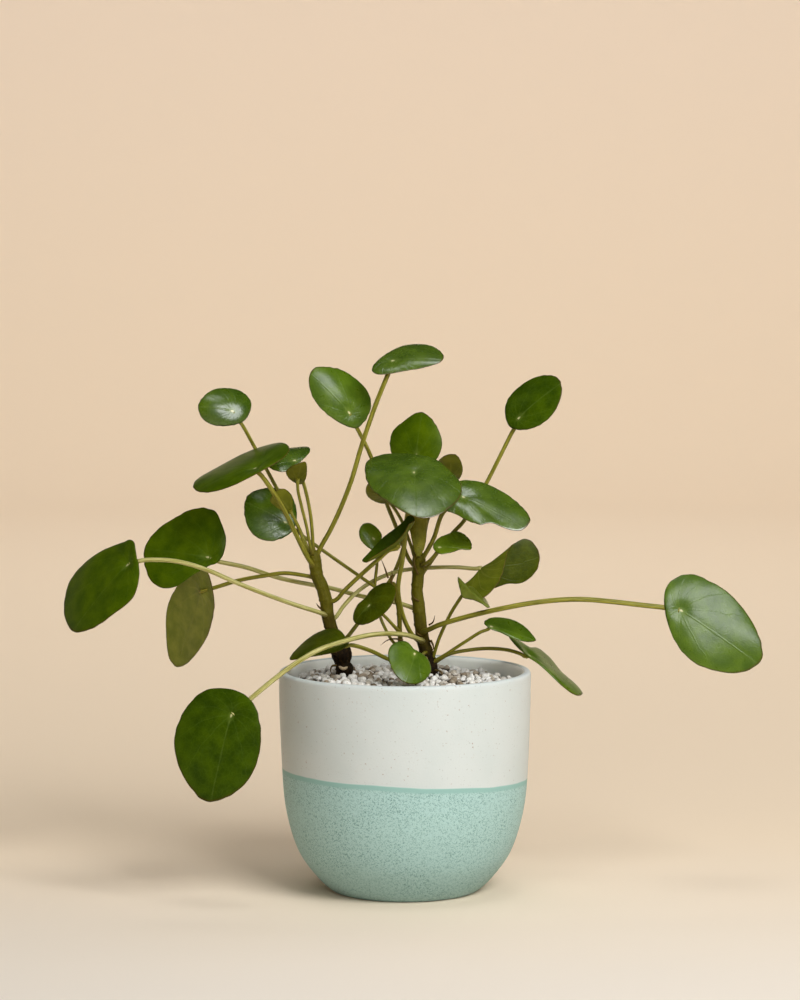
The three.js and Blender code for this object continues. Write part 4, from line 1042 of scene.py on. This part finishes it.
        outline=[(-19.5, 200.5), (-18.5, 195.5), (-14.5, 193), (-9.5, 192.5), (-6.5, 197), (-9.5, 203),
            (-16, 204.5)],
        stalk=[(5, 8, 166), (2.4, 8, 173), (-1.8, 6.5, 184), (-6.5, 4, 191.5)]),
    "small_cupped": dict(spot=(17, -4, 170.5), face=(0.1, -0.6, 0.8), tip=(33, 171.5), cup=(1, -1.5),
        radius=0.9,
        outline=[(14, 171), (16.5, 174.5), (21.5, 177), (25.5, 178.5), (29.5, 177), (33, 173), (33, 169.5),
            (28, 169.5), (23, 167.5), (17.5, 167)],
        stalk=[(8.4, 5, 161.5), (11.6, 0.5, 163), (14.8, -3, 166.3)]),
    "small_middle": dict(spot=(-15.5, -2, 174.5), face=(0.24, -0.86, 0.44), tip=(-22.5, 181), cup=(1, 1),
        radius=0.8,
        outline=[(-23, 178.5), (-21, 182), (-17.5, 182.5), (-14, 180), (-11.5, 176), (-13, 172), (-16, 169),
            (-20, 171.5), (-22.5, 175)],
        stalk=[(-2.4, -3, 121.5), (-5.4, 0.5, 122.5), (-9, 4, 128), (-12.5, 7, 136), (-15, 8, 150),
            (-14, 7, 163), (-14.6, 3, 171)]),
    "edge_on": dict(spot=(-4, -14, 172.4), face=(-0.66, -0.05, 0.75), tip=(-18, 159.5), tip_depth=-14,
        cup=(-4, 0), fold=(38, 38), curl=0, radius=1.1,
        outline=[(4.6, 185.4), (2.4, 182.4), (-0.5, 178.6), (-4.5, 174.8), (-9.1, 170.6), (-13.5, 167),
            (-17.5, 163.8), (-20.8, 162.6)],
        far_outline=[(4.6, 185.4), (2.1, 186.2), (-2.2, 182.9), (-5.5, 180.3), (-10.9, 175.8), (-15, 171),
            (-18.2, 167), (-20.8, 162.6)],
        stalk=[(-39.3, 4, 143.5), (-35.2, 2, 143.6), (-29.5, -2, 149.5), (-21, -7, 157.5),
            (-13, -11, 164.5), (-8, -13, 168.8)]),
    "right_folded": dict(spot=(39, 14, 159), face=(0.62, -0.47, -0.62), tip=(55, 172), tip_depth=20,
        fold=(62, 62), hook=0.4, radius=1.05,
        outline=[(32, 150), (34.5, 146), (39.5, 144), (43.5, 147), (47, 152), (50.5, 161), (52.5, 168),
            (55, 172)],
        far_outline=[(32, 150), (38, 146.5), (46, 149), (52, 151), (59.5, 151.5), (66, 156.5),
            (68.2, 163.5), (66, 170.5), (61, 174), (55, 172)],
        stalk=[(-38.6, 4.5, 133), (-34.8, 4.5, 135.2), (-31, 6, 140.5), (-25, 8, 147), (-17.5, 10.5, 152.5),
            (-9, 13, 156.5), (-2, 15, 158.6), (11, 16.5, 160), (26, 16.5, 160.3), (35, 15.5, 159.6)]),
    "small_folded": dict(spot=(32, -9, 149.5), face=(0.05, -0.78, 0.63), tip=(41.9, 140), tip_depth=-17,
        fold=(-57, -40), curl=0, radius=0.9,
        outline=[(30.75, 150.75), (33.7, 150.2), (37.3, 147.6), (40.5, 143.6), (41.9, 140)],
        far_outline=[(30.75, 150.75), (29.3, 153.8), (26.8, 156.4), (26.4, 153.2), (27.4, 149.2),
            (28.8, 145.2), (33.9, 143.8), (38, 142), (41.9, 140)],
        stalk=[(12.5, 8, 113), (14.2, 6.5, 116), (17, 4, 124.5), (22.5, 0, 136.5), (26.6, -4, 143.2),
            (29.5, -6.5, 147)]),
    "rim_right": dict(spot=(43, -2, 131), face=(0.3, -0.6, 0.74), tip=(65, 124.5), cup=(1, 1), radius=0.85,
        outline=[(39.5, 132.5), (42.5, 135), (47.5, 135.5), (53.5, 134), (59, 131), (63.5, 127),
            (65.5, 124), (61, 123), (54.5, 124.5), (48.5, 127.5), (42.5, 130)],
        stalk=[(12.8, 7, 112), (16.5, 6, 114.5), (20, 4.5, 116.5), (30, 1, 123), (38, -1.5, 128)]),
    "rim_hanging": dict(spot=(62.5, 14, 117), face=(0.6, -0.2, 0.75), tip=(88, 96.5), cup=(0.5, 0.5),
        radius=0.95,
        outline=[(52, 125.5), (57, 123.5), (62, 120.5), (66.5, 119.5), (72.5, 114.5), (78.5, 108),
            (85.5, 101.5), (88.5, 97), (85, 96.5), (77.5, 102), (70, 109), (63, 115), (56.5, 120)],
        stalk=[(12.6, 9, 110.5), (16.2, 10, 113.5), (22.5, 11, 117), (32.5, 12.5, 119), (42.5, 13.5, 119.7),
            (52.5, 14, 118.7), (59, 14, 116.4)]),
    "far_right": dict(spot=(138, -10, 139), face=(0.08, -0.93, 0.33), tip=(178, 112), cup=(3, 2),
        wave=(0.5, 4, 2), radius=1.3,
        outline=[(129.5, 141.5), (130.5, 150), (135, 155), (143.5, 157), (152, 153.5), (160.5, 148.5),
            (168, 141.2), (174, 132.3), (178, 122), (178.5, 114.5), (173, 109.5), (165, 107.5),
            (155, 108.5), (145.5, 112), (138, 119), (132.5, 129)],
        stalk=[(8.6, 6.5, 128), (12, 1, 129.2), (18, -5, 131.8), (32.5, -9, 136), (47.5, -10.5, 139.5),
            (62.5, -11, 142.3), (77.5, -11, 144), (90, -10.5, 144.2), (102.5, -10, 143.2),
            (117.5, -9.5, 141.5), (130.5, -8.5, 140)]),
    "dark_oval": dict(spot=(-18, -12, 141.5), face=(-0.55, -0.6, 0.55), tip=(-25.5, 133), cup=(1.5, 1.5),
        radius=0.85,
        outline=[(-26, 135.5), (-24, 141), (-20, 145), (-17, 149), (-12, 152), (-7.5, 152.5), (-4.5, 149.5),
            (-6, 143.5), (-9.5, 138), (-15, 133.5), (-21, 131.5), (-25, 132.5)],
        stalk=[(-2.4, -4, 128), (-5, -5.5, 130.5), (-10, -7.5, 135.8), (-14, -9, 139.2)]),
    "rim_left": dict(spot=(-32.5, -22, 122.5), face=(-0.4, -0.42, 0.8), tip=(-57, 114.5), cup=(1.5, 1),
        radius=1.05,
        outline=[(-57.5, 114), (-54, 120), (-48.5, 125), (-41.5, 128.5), (-34.5, 129.5), (-30, 126),
            (-28.5, 122), (-33.5, 118.5), (-41.5, 116.5), (-50, 115)],
        stalk=[(12, 7.5, 115), (8.2, 2, 114), (1.5, -8.5, 113), (-7.5, -14, 114.2), (-17.5, -19, 118.8),
            (-27, -21.5, 121.5)]),
    "front_low": dict(spot=(5, -36, 117.5), face=(0.42, -0.64, 0.64), tip=(1, 102.5), cup=(2.4, 2.4),
        radius=0.85,
        outline=[(-8.5, 115.5), (-7.5, 120.5), (-4, 123), (0.5, 123), (4, 120), (7.5, 118), (11.5, 114.5),
            (13, 109), (10, 104), (4.5, 102), (-1.5, 103.5), (-6, 108)],
        stalk=[(11, 7, 118), (9.6, 2, 117.4), (9, -8, 116.8), (8, -20, 116.6), (6.4, -31, 117)]),
    "young_rolled": dict(spot=(6.4, 3, 171.5), face=(0.1, -0.98, 0.1), tip=(6, 188), cup=(0, 2.5),
        radius=0.9,
        outline=[(1.6, 184), (2.6, 178), (3.8, 172), (4.8, 168), (6.8, 165.4), (8.8, 168), (10.2, 172),
            (11, 180), (11.2, 187), (6, 188.8)],
        stalk=[(6.8, 6, 165.5), (6.8, 3.8, 168.5)]),
}

LEAF_TONE = {
    "deep": ["low_left", "edge_on", "top_right"],
    # far_left and left_broad wear the broad green as painted light, because they face away from the main
    # light.
    "broad": ["far_left", "left_broad", "back_upright", "left_slanted"],
    "olive": ["dark_oval", "rim_left", "right_folded"],
    "rolled": ["young_rolled"],
    "glossy": ["left_round", "top_left"],
    "shiny": ["left_folded"],
    "waxy": ["front_large", "right_wavy", "crown_top"],
    "young": ["left_bud_upper", "left_bud_lower", "small_back_right", "small_back_left", "small_cupped",
              "small_middle"],
    "folded": ["small_folded"],
}
# These stalks wear the paler copy, as painted light where the main light falls on them.
LIT_STALKS = ["low_left", "far_left", "left_broad", "right_folded"]
tone_of = {name: tone for tone, names in LEAF_TONE.items() for name in names}
print(len(LEAVES), "leaves")

# %% [markdown]
# ## The shape of a blade
# A blade is first laid out flat: its outline as seen is thrown back along the lines of sight onto
# the plane that the leaf faces. Curving the blade would shift that outline, so the throw is repeated
# on the curved blade until it covers what was seen. Then the surface gets what a pilea's leaf has: a
# dimple over the stalk, drooping and rippled edges, shallow valleys along the veins, and a rounded
# rim. Both faces are grids of rings round the stalk, with the same points over one another.

# %% Blade outline
def leaf_frame(leaf):
    """The spot over the stalk, and the directions up from the blade, to its tip and to its side."""
    spot = seen(leaf["spot"])
    normal = Vector(leaf["face"]).normalized()
    if "tip_depth" in leaf:
        tip = seen((leaf["tip"][0], leaf["tip_depth"], leaf["tip"][1])) - spot
    else:
        tip = onto_plane(leaf["tip"], spot, normal) - spot
    tip.normalize()
    normal = (normal - tip * normal.dot(tip)).normalized()
    return spot, normal, tip, normal.cross(tip)


def thrown_back(place, points, sign, angle, rise):
    """Seen points laid on one half of the blade, which is folded by the angle and lifted by rise."""
    spot, normal, tip, side = place
    across = side * (sign * math.cos(angle)) + normal * math.sin(angle)
    facing = tip.cross(across).normalized()
    flat = []
    for point in points:
        lifted = spot
        for _ in range(5):
            v = onto_plane(point, lifted, facing) - spot
            lifted = spot + normal * rise(v.dot(tip), sign * v.dot(across))
        flat.append((v.dot(tip), sign * v.dot(across)))
    return flat


def blade_edge(leaf, place, folds, rise):
    if "far_outline" in leaf:
        ring = thrown_back(place, leaf["outline"], 1, folds[0], rise)[1:-1]
        ring += thrown_back(place, leaf["far_outline"], -1, folds[1], rise)[::-1]
    else:
        ring = thrown_back(place, leaf["outline"], 1, 0, rise)
    return evenly(smooth_curve(ring, closed=True), AROUND, closed=True)[0]


# %% Blade surface
THICK_MIDDLE = 0.9           # of a blade, in mm
THICK_EDGE = 0.55
THIN_YOUNG = 0.75            # a leaf under YOUNG_SIZE is thinner by this factor
YOUNG_SIZE = 12
AROUND = 112                 # points round the rim of a blade
RING_SHARES = np.linspace(0.05, 0.96, 19)
RIM_INSETS = np.array([0.42, 0.2, 0.07, 0.0])
RIM_THICKNESS = np.array([0.95, 0.78, 0.48, 0.0])
DIMPLE_DEPTH, DIMPLE_WIDTH = 1.1, 4.2
VALLEY_DEPTH, VALLEY_WIDTH = 0.07, 1.5
CREASE = 1.0                 # rounding of the fold along the midrib
SWELLS = 0.35                # slow unevenness of a blade
CURL = 0.55                  # how far the last part of the edge turns down
SCALLOP, SCALLOPS = 0.12, (17, 25)   # shallow waves along the edge of a large blade
RIPPLE = (0.25, 3)           # height and number of waves of an ordinary edge


def vein_closeness(u, w, share):
    """1 on a main vein and 0 away from it: the same fan of veins as in the shader group."""
    count = VEIN_PAIRS / math.pi * (1 + VEIN_BEND * share)
    number = np.abs(np.arctan2(w, u)) * count
    gap = np.abs(number - np.round(number)) * np.hypot(u, w) / count
    return np.exp(-(gap / VALLEY_WIDTH) ** 2) * np.clip((np.hypot(u, w) - 1.5) / 4, 0, 1) * (1 - 0.6 * share)


def scalloped(edge, size, seed):
    """The edge and how far each of its points is from the spot, with shallow waves of its own."""
    turn = turns(AROUND)
    waves = sum(np.sin(n * turn + seed * n) for n in SCALLOPS) * (0.6 + 0.4 * np.sin(3 * turn + seed))
    reach = np.linalg.norm(edge, axis=1)
    wavy = reach + SCALLOP * min(1, size / 24) * waves
    return edge * (wavy / reach)[:, None], wavy


def blade_faces(rows):
    """Faces of both sides, which share the ring at the rim, and 0, 1 or 2 for upper, under, margin."""
    faces, shades = [], []
    under = rows * AROUND
    centre_top = under + (rows - 1) * AROUND
    for row in range(rows - 1):
        for k in range(AROUND):
            a, b = row * AROUND + k, row * AROUND + (k + 1) % AROUND
            c, d = under + a, under + b
            margin = row == rows - 2
            faces.append((a, a + AROUND, b + AROUND, b))
            faces.append((c, d, b + AROUND, a + AROUND) if margin else (c, d, d + AROUND, c + AROUND))
            shades += [2, 2] if margin else [0, 1]
    for k in range(AROUND):
        faces.append((centre_top, k, (k + 1) % AROUND))
        faces.append((centre_top + 1, under + (k + 1) % AROUND, under + k))
        shades += [0, 1]
    return faces, shades


def grow_blade(leaf, seed):
    place = leaf_frame(leaf)
    spot, normal, tip, side = (np.array(v) for v in place)
    along, across = leaf.get("cup", (0, 0))
    height, waves, phase = leaf.get("wave", (*RIPPLE, seed))
    folds = [math.radians(angle) for angle in leaf.get("fold", (0, 0))]
    length, width = np.abs(blade_edge(leaf, place, folds, lambda u, w: 0.0)).max(0)
    size = math.sqrt(length * width)
    curl = leaf.get("curl", CURL * min(1, size / 18))

    def droop(u, w):
        return -along * (u / length) ** 2 - across * (w / width) ** 2

    edge = blade_edge(leaf, place, folds, lambda u, w: droop(u, w) - curl)
    edge, reach = scalloped(edge, size, seed)
    shares = np.vstack([np.repeat(RING_SHARES[:, None], AROUND, axis=1), 1 - RIM_INSETS[:, None] / reach])
    u, w = shares * edge[:, 0], shares * edge[:, 1]
    dimple = DIMPLE_DEPTH * min(1, size / 22)
    lift = droop(u, w) - curl * shares ** 6 + height * shares ** 2 * np.sin(waves * turns(AROUND) + phase)
    lift -= dimple * np.exp(-((u / DIMPLE_WIDTH) ** 2 + (w / DIMPLE_WIDTH) ** 2))
    lift -= VALLEY_DEPTH * min(1, size / 18) * vein_closeness(u, w, shares)
    lift += SWELLS * shares * np.sin(u / 6.5 + seed) * np.sin(w / 5.5 + 2 * seed) * min(1, size / 20)
    fold = np.where(w > 0, *folds)
    lift += (np.sqrt(w ** 2 + CREASE ** 2) - CREASE) * np.sin(fold)
    middle = spot + u[..., None] * tip + (w * np.cos(fold))[..., None] * side + lift[..., None] * normal

    ahead = np.roll(middle, -1, axis=1) - np.roll(middle, 1, axis=1)
    up = unit(np.cross(np.gradient(middle, axis=0), ahead))
    up *= np.sign((up * normal).sum(-1, keepdims=True))
    half = 0.5 * (THICK_MIDDLE + (THICK_EDGE - THICK_MIDDLE) * shares)
    half[-len(RIM_INSETS):] *= RIM_THICKNESS[:, None]
    if size < YOUNG_SIZE:
        half *= THIN_YOUNG
    top, bottom = middle + up * half[..., None], middle - up * half[..., None]
    centre = spot - normal * dimple
    centres = [centre + normal * half[0, 0], centre - normal * half[0, 0]]
    points = np.vstack([top.reshape(-1, 3), bottom[:-1].reshape(-1, 3), centres])
    flat = np.stack([u, w, shares], -1)
    places = np.vstack([flat.reshape(-1, 3), flat[:-1].reshape(-1, 3), np.zeros((2, 3))])
    return points, places, len(shares), centre, normal


# %% [markdown]
# ## The stalks
# A stalk leaves the stem with a swollen foot, thins, and widens again where it spreads under the
# blade. It carries three shallow ribs. It meets the blade square on, under the cream spot.

# %% Stalks and whole leaves
STALK_SIDES = 14
STALK_STEP = 1.3             # between rings of a stalk, in mm
STALK_HOOK = 2.0             # length of the last bend, which brings it square to the blade
STALK_WAIST = 0.97           # of its radius, between foot and head
FOOT_SWELL, FOOT_LENGTH = 0.45, 3.0
HEAD_SWELL, HEAD_LENGTH = 0.35, 1.6
RIBS, RIB = 3, 0.06
SEED_STEP = 1.7              # from one leaf's seed to the next one's


def grow_stalk(leaf, centre, normal):
    points = [seen(p) for p in leaf["stalk"]]
    last = np.array(points[-1])
    coming = (centre - last) / np.linalg.norm(centre - last)
    points += [centre - unit(normal + coming) * leaf.get("hook", STALK_HOOK), centre]
    curve = smooth_curve(points)
    length = np.linalg.norm(np.diff(curve, axis=0), axis=1).sum()
    line, length = evenly(curve, max(10, int(length / STALK_STEP)))
    s = np.linspace(0, length, len(line))
    foot = FOOT_SWELL * np.exp(-(s / FOOT_LENGTH) ** 2)
    head = HEAD_SWELL * np.exp(-((length - s) / HEAD_LENGTH) ** 2)
    radii = leaf["radius"] * (STALK_WAIST + foot + head)
    return tube(line, radii[:, None] * (1 + RIB * np.cos(RIBS * turns(STALK_SIDES))), STALK_SIDES)


def grow_leaf(name, leaf, seed):
    points, places, rows, centre, normal = grow_blade(leaf, seed)
    faces, shades = blade_faces(rows)
    heap = Heap()
    heap.put(points, faces, shades, blade_place=places)
    points, faces, places = grow_stalk(leaf, centre, normal)
    heap.put(points, faces, 3, stalk_place=places)
    tone = tone_of.get(name, "mid")
    stalk = stalk_painted_lit if name in LIT_STALKS else stalk_green
    materials = [UPPER[tone], UNDER.get(tone, UNDER["deep"]), leaf_margin, stalk]
    return heap.piece("grown_leaf_" + name, materials, "leaf_" + name, "leaf_green")


leaf_faces = 0
for number, (leaf_name, leaf_row) in enumerate(LEAVES.items()):
    grown = grow_leaf(leaf_name, leaf_row, number * SEED_STEP)
    leaf_faces += len(grown.data.polygons)
print("leaves:", leaf_faces, "faces in all")

# %% [markdown]
# ## Studio
# The plant stands on a pale, warm sweep: a round floor that curves up into a wall, so that there is
# no corner behind it from any side. A large soft light from the front right is the sun of this
# studio, weaker ones fill from the front and the left, one hangs overhead, and wide ones wash the
# sweep on all sides, which also lightens the plant's back.

# %% Floor and backdrop
FLOOR_RADIUS = 2300
SWEEP_RADIUS = 900
WALL_TOP = 1150
SWEEP_SIDES = 96


def sweep_material():
    made = new_material("studio_sweep")
    place = in_millimetres(made)
    _, depth, height = split(place)
    behind = smooth_step(depth + grain(place, 0.004) * 120.0, -260.0, 240.0)
    floor = mix(behind, rgb(239, 227, 213), rgb(249, 227, 199))
    colour = mix(smooth_step(height, 0.0, SWEEP_RADIUS), floor, rgb(246, 228, 208))
    return finish(made, colour, Roughness=0.85, Specular_IOR_Level=0.2)


def make_stage():
    arc = [(FLOOR_RADIUS + SWEEP_RADIUS * math.sin(a), SWEEP_RADIUS * (1 - math.cos(a)))
           for a in np.linspace(0, math.pi / 2, 16)]
    profile = [(0.01, 0), (300, 0), (900, 0), (1500, 0)] + arc + [(FLOOR_RADIUS + SWEEP_RADIUS, WALL_TOP)]
    points = [(r * math.cos(a), r * math.sin(a), z) for r, z in profile for a in turns(SWEEP_SIDES)]
    stage = make_object("studio_sweep", points, ring_faces(len(profile), SWEEP_SIDES), [sweep_material()])
    return stage


studio = make_stage()
print("stage:", len(studio.data.polygons), "faces")

# %% Lights
PLANT_MIDDLE = Vector((0, 0, 140))
LIGHT_DISTANCE = 1700
WHITE, COOL, GREENISH = (1.0, 1.0, 1.0), (0.97, 0.99, 1.0), (0.97, 1.0, 0.99)
SKY, LEAFY, WARM = (0.93, 0.98, 1.0), (0.93, 1.0, 0.98), (1.0, 0.98, 0.96)
WASHES = {"back": (0, 23.5, 140), "left": (90, 6, 110), "front": (180, 6.6, 110), "right": (270, 6, 110)}


def soft_light(name, place, target, width, height, power, colour, spread=180, glossy=True):
    lamp = bpy.data.lights.new(name, "AREA")
    lamp.shape = "RECTANGLE"
    lamp.size, lamp.size_y = width * MM, height * MM
    lamp.energy = power
    lamp.color = colour
    lamp.spread = math.radians(spread)
    stand = bpy.data.objects.new(name, lamp)
    stand.location = Vector(place) * MM
    stand.rotation_euler = (Vector(target) - Vector(place)).to_track_quat("-Z", "Y").to_euler()
    stand.visible_glossy = glossy
    bpy.context.scene.collection.objects.link(stand)


def from_side(azimuth, elevation):
    """A place round the plant: azimuth from the camera to the right, in degrees."""
    turn, rise = math.radians(azimuth), math.radians(elevation)
    away = Vector((math.sin(turn) * math.cos(rise), -math.cos(turn) * math.cos(rise), math.sin(rise)))
    return PLANT_MIDDLE + away * LIGHT_DISTANCE


soft_light("key_window", from_side(33, 37), PLANT_MIDDLE, 960, 720, 25, COOL)
soft_light("front_fill", from_side(2, 22), PLANT_MIDDLE, 900, 700, 5.6, SKY, glossy=False)
soft_light("left_fill", from_side(-80, 48), PLANT_MIDDLE, 400, 400, 0.35, LEAFY)
soft_light("overhead", (60, -250, 1750), PLANT_MIDDLE, 520, 520, 4.0, GREENISH)
soft_light("far_floor_wash", (0, 750, 1700), (0, 800, 0), 2400, 300, 1.6, WARM, 100, glossy=False)
for side, (azimuth, power, spread) in WASHES.items():
    round_axis = Euler((0, 0, math.radians(azimuth))).to_matrix()
    wash_place, wash_target = round_axis @ Vector((120, 1300, 2200)), round_axis @ Vector((120, 2600, 0))
    soft_light("wash_" + side, wash_place, wash_target, 2400, 500, power, WHITE, spread, glossy=False)
world = bpy.data.worlds.new("pale_room")
world.use_nodes = True
air = world.node_tree.nodes["Background"].inputs
air["Color"].default_value = (0.95, 1.0, 0.98, 1.0)
air["Strength"].default_value = 0.02
bpy.context.scene.world = world
bpy.context.scene.view_settings.view_transform = "Standard"
